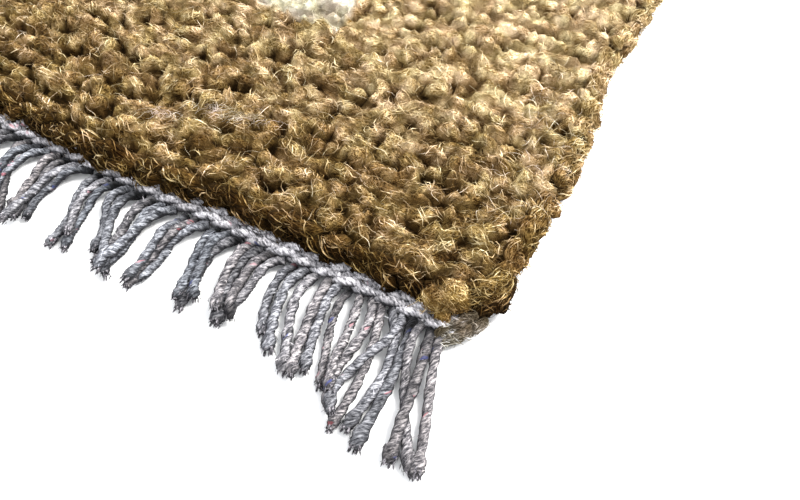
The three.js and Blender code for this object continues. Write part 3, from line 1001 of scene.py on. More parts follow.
def fibre_mesh(kind):
    rng = np.random.default_rng(200 + kind)
    strands = Strands()
    curls = kind % 3 == 0
    stations = 5 if curls else 4
    t = np.linspace(0, 1, stations)
    length, width = rng.uniform(5, 11), rng.uniform(0.22, 0.50)
    turn = rng.uniform(1.2, 3.2) * rng.choice((-1, 1)) if curls else rng.normal(0, 0.7)
    direction = turn * (t - 0.5) + rng.uniform(0.1, 0.5) * np.sin(t * 6 + rng.uniform(0, 6))
    x, y = line_along(direction, length)
    bend = -(x ** 2 + y ** 2) / 24
    if kind % 5 == 1:
        stands_off = rng.uniform(1.0, 3.2) * t ** 1.5
    else:
        stands_off = rng.uniform(0.2, 1.2) * np.sin(t * math.pi)
    line = np.column_stack([x, y, 0.1 + bend + stands_off])
    lean = np.full(stations, rng.uniform(-0.6, 0.6))
    across = unit(np.column_stack([-np.sin(direction), np.cos(direction), lean]))
    widths = np.interp(t, (0, 0.3, 0.7, 1), (0, 1, 0.85, 0)) * width
    # Its root value falls where the fibre bends down into the fleece: painted shade.
    strands.blade(line, across, widths, np.clip(0.8 + bend * 0.2, 0, 1), rng.uniform(0.0, 1))
    return strands.mesh(f"fibre_{kind}")


fibre_kit = kit("fibres", [fibre_mesh(kind) for kind in range(60)])


# %% Where the fibres lie
def euler_from(forward, upward):
    """Euler angles that turn +X along forward and +Z along upward, for rows of unit vectors."""
    side = np.cross(upward, forward)
    return np.column_stack([np.arctan2(side[:, 2], upward[:, 2]), -np.arcsin(np.clip(forward[:, 2], -1, 1)),
                            np.arctan2(forward[:, 1], forward[:, 0])])


def on_grid(values, x, y):
    """Values of the grid between its points."""
    u = np.interp(x, line_x, np.arange(width)).clip(0, width - 1.001)
    v = np.interp(y, line_y, np.arange(rows)).clip(0, rows - 1.001)
    i, j = u.astype(int), v.astype(int)
    u, v = u - i, v - j
    low = values[j, i] * (1 - u) + values[j, i + 1] * u
    high = values[j + 1, i] * (1 - u) + values[j + 1, i + 1] * u
    return low * (1 - v) + high * v


FIBRES = 100000
FIBRES_AT_ENDS = 26000
END_BAND = 125
SLOPE_STEP = 1.4
fibre_x = rng.uniform(-FLEECE_HALF_X + 0.3, FLEECE_HALF_X - 0.3, FIBRES)
fibre_y = rng.uniform(-FLEECE_HALF_Y + 0.3, FLEECE_HALF_Y - 0.3, FIBRES)
at_ends = FLEECE_HALF_Y - rng.uniform(0.3, END_BAND, FIBRES_AT_ENDS)
fibre_y[:FIBRES_AT_ENDS] = at_ends * rng.choice((-1, 1), FIBRES_AT_ENDS)
height = on_grid(fleece_z, fibre_x, fibre_y)
slope_x = on_grid(fleece_z, fibre_x + SLOPE_STEP, fibre_y) - on_grid(fleece_z, fibre_x - SLOPE_STEP, fibre_y)
slope_y = on_grid(fleece_z, fibre_x, fibre_y + SLOPE_STEP) - on_grid(fleece_z, fibre_x, fibre_y - SLOPE_STEP)
slopes = np.column_stack([slope_x, slope_y]) / (2 * SLOPE_STEP)
upward = unit(np.column_stack([-slopes.clip(-1.6, 1.6), np.ones(FIBRES)]))
k = grid_lump[np.searchsorted(line_y, fibre_y).clip(0, rows - 1),
              np.searchsorted(line_x, fibre_x).clip(0, width - 1)]
direction = lump_turn[k] + rng.normal(0, 0.65, FIBRES) + rng.integers(0, 2, FIBRES) * math.pi
forward = np.column_stack([np.cos(direction), np.sin(direction), np.zeros(FIBRES)])
forward = unit(forward - upward * (forward * upward).sum(1, keepdims=True))
place_x, place_y = settle(*round_corner(fibre_x, fibre_y))
fibre_spots = np.column_stack([place_x, place_y, height + 0.1])
fibre_turns = euler_from(forward, upward)
# Painted shade for fibres that lie lower than the top of their lump.
sunk = np.clip((lump_top[k] - 1.0 - height) / 7.4, 0, 1)

# %% Sow the fibres
FIBRE_BANDS = 4
band_of = np.clip(((fibre_y / HALF_LENGTH + 1) / 2 * FIBRE_BANDS).astype(int), 0, FIBRE_BANDS - 1)
for band in range(FIBRE_BANDS):
    here = band_of == band
    spots = spots_mesh(f"fibre_spots_{band}", fibre_spots[here], fibre_turns[here], 1.0,
                       pale=in_panel(fibre_x, fibre_y)[here], sunk=sunk[here], tint=lump_tone[k][here])
    pile.append(sow_on(spots, f"pile_fibres_{band + 1}", fibre_kit, wool, 0.7, 1.25, 0.12, 20 + band))

# %% [markdown]
# ## Tufts at the rim
#
# Round the rim three rows of tufts lie one above another along the outline and hide the edge of the ground.

# %% Rim tufts
# Columns: how far inside the fleece's edge a row lies, its height, how far apart its tufts are, how much
# painted shade it gets.
RIM_ROWS = (
    (-0.6, 6.2, 13.5, 0.62),
    (0.6, 11.0, 13.5, 0.46),
    (4.2, 14.6, 14.0, 0.25),
)
places, turns, painted_depth_shade = [], [], []
for inset, height, pitch, row_shade in RIM_ROWS:
    outline = round_outline(FLEECE_HALF_X - inset, FLEECE_HALF_Y - inset, PILE_CORNER - inset, pitch,
                            wandering=False)
    ahead = np.roll(outline, -1, 0) - outline
    outline = outline + ahead * rng.uniform(0.1, 0.7, len(outline))[:, None]
    along = np.arctan2(ahead[:, 1], ahead[:, 0])
    x, y = settle(outline[:, 0], outline[:, 1])
    count = len(outline)
    places.append(np.column_stack([x, y, height + rng.uniform(-1.0, 1.2, count)]))
    rng.random(count)  # keeps the draws below as they are
    turns.append(np.column_stack([np.zeros(count), rng.normal(0.12, 0.22, count),
                                  along + rng.normal(0, 0.22, count)]))
    painted_depth_shade.append(row_shade + rng.uniform(-0.1, 0.15, count))
places, turns, painted_depth_shade = np.concatenate(places), np.concatenate(turns), np.concatenate(painted_depth_shade)
# The rim's painted shade is weaker along the long sides than at the ends.
at_side = np.clip((FLEECE_HALF_Y - np.abs(places[:, 1]) - 12) / 25, 0, 1)
painted_depth_shade = painted_depth_shade * (1 - 0.62 * at_side)
rim_spots = spots_mesh("rim_tufts", places, turns, 1.12, pale=0, sunk=painted_depth_shade)
pile.append(sow_on(rim_spots, "pile_rim", tufts, wool, 0.82, 1.12, 0.16, 33))

# %% Matted fibres on the rim tufts
RIM_FIBRES = 8000
TUFT_SKIN = 3.7
k = rng.integers(0, len(places), RIM_FIBRES)
ahead = np.column_stack([np.cos(turns[k, 2]), np.sin(turns[k, 2]), np.zeros(RIM_FIBRES)])
sideways = np.column_stack([ahead[:, 1], -ahead[:, 0], np.zeros(RIM_FIBRES)])
rise = rng.uniform(-0.5, 1.5, RIM_FIBRES)[:, None]
upward = sideways * np.cos(rise) + np.array((0, 0, 1)) * np.sin(rise)
swerve = rng.normal(0, 0.9, RIM_FIBRES)[:, None]
forward = unit(ahead * np.cos(swerve) + np.cross(upward, ahead) * np.sin(swerve))
spots = places[k] + upward * TUFT_SKIN + ahead * rng.uniform(-6, 6, (RIM_FIBRES, 1)) + (0, 0, 0.6)
spots = spots_mesh("rim_fibres", spots, euler_from(forward, upward), 0.8, pale=0, sunk=painted_depth_shade[k] - 0.03)
pile.append(sow_on(spots, "pile_rim_fibres", fibre_kit, wool, 0.7, 1.2, 0.15, 34))

# %% [markdown]
# ## A helper for the ground cloth
#
# The ground is a slab with round corners. It is drawn as rings from its middle outwards, so that its
# rounded rim comes by itself.


# %% A slab with round corners
def slab(name, profile, half_x, half_y, radius, step, uneven=0.0, seed=1):
    """A closed slab. Its profile is (how far in from the outline, height), from the top's middle on."""
    rng = np.random.default_rng(seed)
    rings = []
    outer = round_outline(half_x, half_y, radius, step)
    count = len(outer)
    middle = outer.mean(0)
    for inset, height in profile:
        share_x, share_y = 1 - inset / half_x, 1 - inset / half_y
        flat = (outer - middle) * (share_x, share_y) + middle
        lumps = rng.uniform(-uneven, uneven, count) if height > 1 else np.zeros(count)
        rings.append(np.column_stack([flat, height + lumps]))
    points = np.concatenate(rings)
    faces = []
    for r in range(len(profile) - 1):
        for i in range(count):
            a, b = r * count + i, r * count + (i + 1) % count
            faces.append((b, a, a + count, b + count))
    faces.append(tuple(range(count)))
    faces.append(tuple(reversed(range((len(profile) - 1) * count, len(profile) * count))))
    return mesh_from(name, points, faces)


# %% [markdown]
# ## Stray fibres and fluff
#
# Thin pale hairs lie all over the pile, most of them near the front, where it is handled. In two places
# they make a small white tangle, and some lie along the right edge. They are long curved blades, sown with
# the same tree.


# %% Stray fibre shapes
def stray_mesh(kind):
    rng = np.random.default_rng(300 + kind)
    strands = Strands()
    stations = 8
    length = rng.uniform(6, 15)
    t = np.linspace(0, 1, stations)
    heading = rng.uniform(-2.2, 2.2) * t + rng.uniform(0.1, 0.6) * np.sin(t * rng.uniform(3, 7))
    x, y = line_along(heading, length)
    z = 2.2 * np.sin(t * math.pi) * rng.uniform(0.2, 1.2) + rng.uniform(-0.8, 0.8) * t
    line = np.column_stack([x, y, z])
    lean = np.full(stations, rng.uniform(-0.5, 0.5))
    across = unit(np.column_stack([-np.sin(heading), np.cos(heading), lean]))
    widths = np.interp(t, (0, 0.2, 0.8, 1), (0, 1, 0.8, 0)) * rng.uniform(0.14, 0.28)
    strands.blade(line, across, widths, np.ones(stations), rng.uniform(0.1, 1))
    return strands.mesh(f"stray_{kind}")


strays = kit("strays", [stray_mesh(kind) for kind in range(20)])

# %% Where the stray fibres lie
rng = np.random.default_rng(11)


def hair_spots(x, y, z, pale, size=1.0, combed=None):
    count = len(x)
    heading = rng.uniform(0, 2 * math.pi, count) if combed is None else combed + rng.normal(0, 0.5, count)
    turn = np.column_stack([rng.uniform(-0.3, 0.3, count), rng.uniform(-0.3, 0.3, count), heading])
    return np.column_stack([wander(x, y), y, z]), turn, np.full(count, pale), np.full(count, size)


# Columns: middle of a white tangle, its half length and half width, its direction, how many fibres.
TANGLES = (
    (93, -412, 12, 4, 0.2, 55),
    (126, -394, 21, 5, 0.15, 150),
)
everywhere, near_front, at_side = 1500, 520, 130
groups = [
    hair_spots(rng.uniform(-291, 291, everywhere), rng.uniform(-438, 438, everywhere),
               rng.uniform(16.5, 19.5, everywhere), 0.0),
    hair_spots(rng.uniform(-289, 289, near_front), -440 + np.abs(rng.normal(0, 80, near_front)),
               rng.uniform(16.5, 19.5, near_front), 0.1),
    hair_spots(rng.uniform(262, 299, at_side), rng.uniform(-392, -268, at_side),
               rng.uniform(14, 20, at_side), 0.35),
]
for middle_x, middle_y, long, short, direction, count in TANGLES:
    u, v = rng.normal(0, 0.5, count) * long, rng.normal(0, 0.5, count) * short
    groups.append(hair_spots(middle_x + u * math.cos(direction) - v * math.sin(direction),
                             middle_y + u * math.sin(direction) + v * math.cos(direction),
                             rng.uniform(18.0, 20.2, count), 0.6, 0.7, direction))
places, turns, paleness, sizes = (np.concatenate(parts) for parts in zip(*groups))
hair_points = spots_mesh("hairs", places, turns, sizes, pale=paleness)
stray_fibres = sow_on(hair_points, "stray_fibres", strays, stray_wool, 0.55, 1.25, 0.15, 5)

# %% [markdown]
# ## The loose lock at the corner
#
# One golden lock has come loose and hangs at the front right corner, over the end of the heading. It is a
# few soft balls run together, with fibres laid over them as on the fleece, and some of the stray fibres
# around them.

# %% Loose lock
# Columns: middle x, y and z of a ball, its half sizes along x, y and z, how many fibres lie on it.
LOOSE_BALLS = (
    (280.5, -436.5, 12.5, 8.5, 8.0, 7.5, 620),
    (272.5, -441.0, 10.0, 7.5, 6.5, 6.0, 460),
    (278.5, -446.0, 7.2, 5.0, 4.0, 3.6, 200),
)
BALL_SIDES = 14
BALL_RINGS = 8
meridians = np.arange(BALL_SIDES) * 2 * math.pi / BALL_SIDES
latitudes = np.linspace(-math.pi / 2, math.pi / 2, BALL_RINGS + 2)[1:-1]
rings = [np.column_stack([math.cos(lat) * np.cos(meridians), math.cos(lat) * np.sin(meridians),
                          np.full(BALL_SIDES, math.sin(lat))]) for lat in latitudes]
ball = np.concatenate([[(0, 0, -1)], *rings, [(0, 0, 1)]])
lock_parts, lock_faces, lock_places, lock_turns = [], [], [], []
for *six, count in LOOSE_BALLS:
    middle, half = np.array(six[:3]), np.array(six[3:])
    bottom = sum(len(part) for part in lock_parts)
    top = bottom + len(ball) - 1
    lock_parts.append(middle + ball * half * (0.93 + rng.uniform(-0.09, 0.09, (len(ball), 1))))
    for i in range(BALL_SIDES):
        j = (i + 1) % BALL_SIDES
        lock_faces.append((bottom, bottom + 1 + j, bottom + 1 + i))
        lock_faces.append((top - BALL_SIDES + i, top - BALL_SIDES + j, top))
        for low in range(bottom + 1, top - BALL_SIDES, BALL_SIDES):
            high = low + BALL_SIDES
            lock_faces.append((low + i, low + j, high + j, high + i))
    outward = unit(rng.normal(0, 1, (count, 3)))
    upward = unit(outward / half)
    ahead = unit(np.cross(upward, rng.normal((0.2, 0.1, 1.0), 0.6, (count, 3))))
    lock_places.append(middle + outward * half * rng.uniform(0.9, 1.05, (count, 1)))
    lock_turns.append(euler_from(ahead, upward))
lock_points = np.concatenate(lock_parts)
lock_mesh = mesh_from(
    # A low strand tone is painted shade for the wool under the fibres; the root value paints shade low on
    # the balls.
    "loose_lock", lock_points, lock_faces, flow=lock_points, strand=np.full(len(lock_points), 0.2),
    tone=np.full(len(lock_points), 0.3), root=np.clip((lock_points[:, 2] - 3) / 12, 0.2, 0.8),
)
lock_mesh.materials.append(golden_wool)
loose_body = object_from(lock_mesh)
places, turns = np.concatenate(lock_places), np.concatenate(lock_turns)
# Painted shade on the fibres that lie low on the balls.
sunk = np.clip((14 - places[:, 2]) / 12, 0, 0.7)
spots = spots_mesh("lock_fibres", places, turns, 0.8, pale=0, sunk=sunk)
combed = sow_on(spots, "loose_fibres", fibre_kit, golden_wool, 0.7, 1.15, 0.25, 9)
CURLS = 150
u, v, w = rng.normal(0, 1, (3, CURLS)).clip(-1.8, 1.8)
places = np.column_stack([277.5 + 6.0 * u + 1.5 * v, -440 + 4.8 * v + 1.2 * u,
                          17.0 - 1.5 * (u ** 2 + v ** 2) + w])
turns = np.column_stack([0.5 * rng.normal(0, 1, CURLS), np.zeros(CURLS), rng.uniform(0, 6.28, CURLS)])
spots = spots_mesh("curls", places, turns, 0.7, pale=0, sunk=0)
loose_curls = sow_on(spots, "loose_curls", strays, golden_wool, 0.6, 1.1, 0.5, 10)
loose = [loose_body, combed, loose_curls]
print(loose_body.name, triangles(loose_body), "triangles")

# %% [markdown]
# ## Cords from paths
#
# The fringe cords and the strands of the heading are all spun yarn that follows a line. A tree sweeps a
# section along each line: a circle pinched into plies, which the curve's tilt turns as it goes, so the
# twist comes from one number. Points carry how thick the cord is there and how much it is darkened:
# painted shade where it leaves the heading, and darker towards its cut tip.

# %% Node tree: spin cords
spin, inp, out = new_tree(
    "spin_cords", "GeometryNodeTree",
    {
        "Paths": ("Geometry", None),
        "Radius": ("Float", 0.0026),
        "Plies": ("Int", 2),
        "Ply Depth": ("Float", 0.1),
        "Turns": ("Float", 70.0),
        "Sides": ("Int", 8),
        "Material": ("Material", None),
    },
    {"Cords": "Geometry"},
)
lines = add_node(spin, "GeometryNodeMeshToCurve", {"Mesh": inp["Paths"]})
travel = add_node(spin, "GeometryNodeSplineParameter").outputs["Length"]
measured = store(spin, lines.outputs[0], "travel", travel)
turned = math_node(spin, "MULTIPLY", travel, inp["Turns"])
twist = math_node(spin, "MULTIPLY_ADD", turned, 2 * math.pi, point_value(spin, "phase"))
twisted = add_node(spin, "GeometryNodeSetCurveTilt", {"Curve": measured, "Tilt": twist})
circle = add_node(spin, "GeometryNodeCurvePrimitiveCircle",
                  {"Resolution": inp["Sides"], "Radius": inp["Radius"]}, mode="RADIUS")
round_share = add_node(spin, "GeometryNodeSplineParameter").outputs["Factor"]
ply_angle = math_node(spin, "MULTIPLY", round_share, math_node(spin, "MULTIPLY", inp["Plies"], 2 * math.pi))
ply_size = math_node(spin, "MULTIPLY_ADD", math_node(spin, "COSINE", ply_angle), inp["Ply Depth"], 1.0)
spot = add_node(spin, "GeometryNodeInputPosition").outputs[0]
pinched = add_node(spin, "ShaderNodeVectorMath", {0: spot, "Scale": ply_size}, operation="SCALE")
plied = add_node(spin, "GeometryNodeSetPosition",
                 {"Geometry": circle.outputs[0], "Position": pinched.outputs[0]})
section = store(spin, plied.outputs[0], "ring", spot, "FLOAT_VECTOR")
swept = add_node(spin, "GeometryNodeCurveToMesh",
                 {"Curve": twisted.outputs[0], "Profile Curve": section, "Scale": point_value(spin, "girth"),
                  "Fill Caps": True})
painted = add_node(spin, "GeometryNodeSetMaterial",
                   {"Geometry": swept.outputs[0], "Material": inp["Material"]})
smoothed = add_node(spin, "GeometryNodeSetShadeSmooth", {"Geometry": painted.outputs[0]})
real = add_node(spin, "GeometryNodeRealizeInstances", {"Geometry": smoothed.outputs[0]})
spin.links.new(real.outputs[0], out["Cords"])


def path_mesh(name, paths):
    """A mesh of open lines. Each path is (points, girth at each point, painted shade and darkening, phase).
    """
    points, edges, girths, ends, phases = [], [], [], [], []
    for line, girth, end, phase in paths:
        base = len(points)
        points.extend(line)
        edges.extend((base + i, base + i + 1) for i in range(len(line) - 1))
        girths.extend(np.broadcast_to(girth, len(line)))
        ends.extend(np.broadcast_to(end, len(line)))
        phases.extend([phase] * len(line))
    return mesh_from(name, points, [], edges, girth=girths, end=ends, phase=phases)


# %% [markdown]
# ## The fringe
#
# Each cord leaves the heading, arches over and lies down on the floor. Neighbours draw together in twos,
# threes and fours, and cross, with a gap between one group and the next. Two cords can't be in the same
# place, so they are laid one after another in a random order, as a heap of sticks would be: where a cord
# meets one that is there already, it is lifted on top of it.


# %% Cord paths
STATIONS = 26
CORD_ROOT_HEIGHT = 4.2
FARTHEST_THAT_MEETS = 6
SQUEEZED = 0.88


def cord_position(index):
    share = 2 * index / (CORDS - 1) - 1
    return OUTERMOST_CORD * ((1 + CORNER_CROWDING) * share - CORNER_CROWDING * share ** 3)


def cord_reach(index, end):
    corner = bump(HALF_WIDTH - abs(cord_position(index)), CORNER_SPAN)
    uneven = between(-CORD_UNEVENNESS, CORD_UNEVENNESS, index, 50 + end)
    return CORD_REACH + CORNER_EXTRA_REACH * corner + uneven


def cord_groups(end):
    """For each cord, the middle of its group, how that group swings and how strongly it draws together."""
    groups = []
    while len(groups) < CORDS:
        key = len(groups)
        count = min(2 + int(2.8 * chance(key, 110 + end)), CORDS - key)
        middle = cord_position(key + (count - 1) / 2)
        swing = between(-9, 11, key, 111 + end)
        draw = between(0.45, 1.0, key, 112 + end)
        groups.extend([(middle, swing, draw)] * count)
    return groups


def cord_side_line(index, end, group, share):
    """How far a cord lies to the side along its length."""
    x = cord_position(index)
    middle, swing, draw = group
    fan = bump(HALF_WIDTH - abs(x), CORNER_FAN_SPAN)
    own = between(-4, 4, index, 82 + end)
    gathered = draw * (middle - x) * (1 - np.exp(-3.5 * share)) * (1 - 0.5 * fan)
    tip = math.copysign(1, x) * CORNER_FAN * fan + swing * (1 - fan)
    slant = between(-8, -2, round(middle), 81 + end) * (1 - 0.6 * fan)
    bends = between(1.3, 2.6, index, 89 + end)
    wobble = between(-3.0, 3.0, index, 87 + end) * np.sin(share * math.pi * bends) * share
    return x + gathered + tip * share ** 1.6 + own * share + wobble + slant * np.sin(share ** 0.6 * math.pi)


# The cords that the photograph shows best, at the front right corner.
# Columns: cord, how far it lies to the side of its root at a third, at two thirds and at its tip.
CORNER_CORDS = (
    (86, 5.5, 13.0, 19.0),
    (85, 4.5, 8.0, 11.2),
    (84, 3.0, 13.0, 26.0),
    (83, 5.0, 6.0, 6.6),
    (82, 0.3, -8.0, -4.0),
    (81, 11.0, 12.0, 9.7),
    (80, 7.0, 9.5, 9.0),
    (79, 6.0, 3.5, 9.0),
    (78, 4.0, 6.0, 12.5),
    (77, 1.0, 6.0, 13.0),
    (76, 0.0, 3.5, 8.3),
    (75, 2.5, 5.0, 11.3),
    (74, -2.0, 4.0, 12.0),
    (73, -3.0, 0.0, 6.8),
    (72, -3.5, -1.0, 5.5),
)


def cord_height(index, end, share):
    """Height of a cord that touches no other: it arches out of the heading and comes down to the floor."""
    arch = between(5.5, 8.2, index, 83 + end)
    falls = between(0.38, 0.6, index, 84 + end)
    t = np.clip(share / falls, 0, 1)
    curve = CORD_ROOT_HEIGHT * (1 - t) ** 2 + 2 * arch * 1.25 * t * (1 - t) + CORD_RADIUS * t ** 2
    return np.maximum(curve, CORD_RADIUS)


def smooth_through(places, share):
    """A smooth line from 0 through the three places, which are at a third, two thirds and the tip."""
    return np.polyval(np.polyfit((0, 1 / 3, 2 / 3, 1), (0, *places), 3), share)


def tip_flare(index, end):
    """How much wider a cord is at its frayed tip. The long cords at the corners are the most frayed."""
    return between(1.1, 1.45, index, 90 + end) + 0.6 * bump(HALF_WIDTH - abs(cord_position(index)), 55)


def cord_paths(end):
    """Centre lines of the cords at one end of the rug."""
    share = np.linspace(0, 1, STATIONS)
    groups = cord_groups(end)
    as_seen = {cord: places for cord, *places in CORNER_CORDS}
    soften = np.hanning(9)[1:-1] / np.hanning(9)[1:-1].sum()
    touch = 2 * CORD_RADIUS * SQUEEZED
    laid = []
    for index in sorted(range(CORDS), key=lambda i: chance(i, 80 + end)):
        line_x = cord_side_line(index, end, groups[index], share)
        if end < 0 and index in as_seen:
            line_x = cord_position(index) + smooth_through(as_seen[index], share)
        line_z = cord_height(index, end, share)
        for other_x, other_z, other_index in laid:
            if abs(other_index - index) > FARTHEST_THAT_MEETS:
                continue
            apart = np.abs(line_x - other_x)
            rise = np.sqrt(np.maximum(touch ** 2 - apart ** 2, 0))
            line_z = np.where(apart < touch, np.maximum(line_z, other_z + rise), line_z)
        line_z = np.maximum(np.convolve(np.pad(line_z, 3, mode="edge"), soften, "valid"), CORD_RADIUS)
        leaving = np.interp(share, (0, 0.12), (0, 1))
        line_z = line_z * leaving + CORD_ROOT_HEIGHT * np.interp(share, (0, 0.12), (1, 0))
        laid.append((line_x, line_z, index))
    paths = []
    for line_x, line_z, index in laid:
        line_y = HALF_LENGTH + HEADING_WIDTH - CORD_ROOT_DEPTH
        line_y = line_y + (cord_reach(index, end) + CORD_ROOT_DEPTH) * share
        thick = between(0.88, 1.1, index, 85 + end)
        flare = tip_flare(index, end)
        girth = thick * (1 + 0.07 * np.sin(share * 23 + index))
        girth = girth * np.interp(share, (0, 0.84, 0.93, 1), (1, 1, flare, flare * 0.62))
        # Painted shade where the cord leaves the heading, under its lower band; darker also towards the cut
        # tip, and a little all along the cords at the corners.
        painted_shade_and_darkening = np.interp(share, (0, 0.07, 0.2, 0.84, 0.93, 1), (1.35, 0.9, 0, 0, 0.45, 0.9))
        painted_shade_and_darkening = np.maximum(painted_shade_and_darkening, 0.3 * bump(HALF_WIDTH - abs(cord_position(index)), 75))
        line_z = np.maximum(line_z, CORD_RADIUS * girth * 1.12)
        paths.append((np.column_stack([line_x, end * line_y, line_z]), girth, painted_shade_and_darkening, between(0, 6, index, 86)))
    return paths


fringes = {}
for end, name in ((-1, "front"), (1, "back")):
    paths = cord_paths(end)
    cords = grow(path_mesh(f"cord_paths_{name}", paths), spin, f"cords_{name}",
                 Radius=CORD_RADIUS * MM, Plies=2, Ply_Depth=0.1, Turns=68.0, Sides=8, Material=cotton)
    fringes[name] = {"paths": paths, "cords": cords}
    print(cords.name, len(paths), "cords,", triangles(cords), "triangles")

# %% [markdown]
# ## The twined heading
#
# Twining works two strands round each other, one over and one under each group of warps. Seen from above
# each strand shows as a row of slanted stitches. Two such rows lie side by side. A strand is a helix,
# thicker where it passes over the top, and the same tree sweeps it.


# %% Heading strands
def heading_strands(end):
    half = HALF_WIDTH - GROUND_CORNER
    run = np.arange(-half - 5, half + 5, 1.9)
    past = np.maximum(np.abs(run) - half, 0)
    x = np.sign(run) * (np.abs(run) - past * 0.25)
    paths = []
    for band, (middle, radius, high) in enumerate(((-2.8, 1.2, 5.4), (2.0, 1.35, 5.0))):
        for strand in range(2):
            angle = 2 * math.pi * run / (2 * STITCH_PITCH) + strand * math.pi + band * 0.9
            angle = angle + 0.35 * smooth_noise(x, x * 0, 60, 90 + band)
            y = HALF_LENGTH + middle - past ** 1.25 * 0.4 + radius * np.cos(angle)
            y = y + 0.5 * smooth_noise(x, x * 0, 45, 93 + end)
            z = high - past * 0.1 + radius * np.sin(angle)
            girth = (1 + 0.22 * np.sin(angle)) * (1 - 0.02 * past)
            paths.append((np.column_stack([x, end * y, np.maximum(z, 2.1)]), girth, 0.0, strand))
    return paths


for end, name in ((-1, "front"), (1, "back")):
    strands = grow(path_mesh(f"heading_paths_{name}", heading_strands(end)), spin, f"heading_{name}",
                   Radius=2.25 * MM, Plies=3, Ply_Depth=0.08, Turns=55.0, Sides=8, Material=heading_cotton)
    fringes[name]["heading"] = strands
    print(strands.name, triangles(strands), "triangles")

# %% [markdown]
# ## The woven ground
#
# The ground is one cloth. The pile hides it but for its rounded corners, where its edge is thick with the
# turned wefts, and its flat back. It is a closed slab, and its weave is in the material.

# %% Ground cloth
# Columns: how far in from the outline, height. It goes from the middle of the top round to that of the back.
GROUND_PROFILE = (
    (200, 3.0), (60, 3.0), (12, 3.0), (6, 3.6), (3, 4.6), (0.8, 4.2), (0, 2.4),
    (0.6, 0.6), (3, 0.0), (60, 0.0), (200, 0.0),
)
ground_mesh = slab("ground_cloth", GROUND_PROFILE, HALF_WIDTH - GROUND_INSET, HALF_LENGTH - 0.3,
                   GROUND_CORNER, 7, uneven=0.25, seed=6)
ground_mesh.materials.append(ground_cloth)
ground = object_from(ground_mesh)
print(ground.name, triangles(ground), "triangles")

# %% [markdown]
# ## Fuzz
#
# Spun cotton is hairy, and its outline in the photograph is soft. Short blades are scattered over the
# cords, the heading and the corners of the ground, standing off the surface. Scattering over faces is a
# tree of its own.

# %% Fuzz shapes and tree
def fuzz_mesh(kind):
    rng = np.random.default_rng(500 + kind)
    strands = Strands()
    t = np.linspace(0, 1, 4)
    length = rng.uniform(1.4, 3.4)
    bend = rng.uniform(0.8, 1.6)
    line = np.column_stack([length * np.sin(bend * t), rng.uniform(-0.6, 0.6) * t ** 2 * length,
                            length * 0.55 * t * (1.2 - 0.5 * t)])
    across = np.tile(unit((0.0, 1.0, rng.uniform(-0.6, 0.6))), (4, 1))
    widths = np.array((0, 1, 0.8, 0)) * rng.uniform(0.16, 0.28)
    strands.blade(line, across, widths, np.ones(4), rng.uniform(0, 1))
    return strands.mesh(f"fuzz_{kind}")


fuzz_kit = kit("fuzz", [fuzz_mesh(kind) for kind in range(8)])

scatter, inp, out = new_tree(
    "scatter_fuzz", "GeometryNodeTree",
    {
        "Surface": ("Geometry", None),
        "Shapes": ("Collection", None),
        "Material": ("Material", None),
        "Density": ("Float", 20000.0),
        "Seed": ("Int", 1),
    },
    {"Fuzz": "Geometry"},
)
strewn = add_node(scatter, "GeometryNodeDistributePointsOnFaces",
                  {"Mesh": inp["Surface"], "Density": inp["Density"], "Seed": inp["Seed"]}).outputs
own_turn = join(scatter, 0.0, 0.0, random_value(scatter, inp, 0.0, 2 * math.pi))
spun = add_node(scatter, "FunctionNodeRotateRotation",
                {"Rotation": strewn["Rotation"], "Rotate By": own_turn}, rotation_space="LOCAL")
size = random_value(scatter, inp, 0.5, 1.3)
hairs = copies_on(scatter, inp, strewn["Points"], spun.outputs[0], size, size)
scatter.links.new(hairs, out["Fuzz"])

# %% Scatter the fuzz
HAIRS_PER_SQUARE_METRE = 24000.0
for name, parts in fringes.items():
    for key in ("cords", "heading"):
        piece = grow(parts[key].data.copy(), scatter, f"{key}_fuzz_{name}", Shapes=fuzz_kit,
                     Material=cotton_hair, Density=HAIRS_PER_SQUARE_METRE, Seed=31)
        parts[f"{key}_fuzz"] = piece
        print(piece.name, triangles(piece), "triangles")

# %% Felted wool on the bare corners of the ground
# Columns: place on the front right corner along x, y and z, and size.
CORNER_TUFTS = (
    (295.5, -441.0, 5.0, 0.90),
    (291.5, -447.0, 5.0, 0.95),
    (287.5, -452.5, 4.6, 0.90),
    (283.5, -457.0, 4.0, 0.80),
    (289.5, -442.0, 8.0, 0.90),
    (285.5, -448.0, 7.2, 0.85),
    (281.0, -453.0, 6.2, 0.75),
)
CORNER_SLANT = math.radians(58)
places = np.array([(side * x, -end * y, z)
                   for side in (-1, 1) for end in (-1, 1) for x, y, z, _ in CORNER_TUFTS])
slants = np.arctan2(-np.sign(places[:, 1]) * math.sin(CORNER_SLANT),
                    np.sign(places[:, 0]) * math.cos(CORNER_SLANT))
turns = np.column_stack([np.zeros(len(places)), rng.normal(0, 0.15, len(places)), slants])
sizes = np.tile([size for *_, size in CORNER_TUFTS], 4)
# Painted shade on the lower tufts.
spots = spots_mesh("corner_felt_spots", places, turns, sizes, pale=0, sunk=(12 - places[:, 2]) / 40)
corner_felt = sow_on(spots, "corner_felt", tufts, ground_wool, 0.9, 1.1, 0.45, 35)

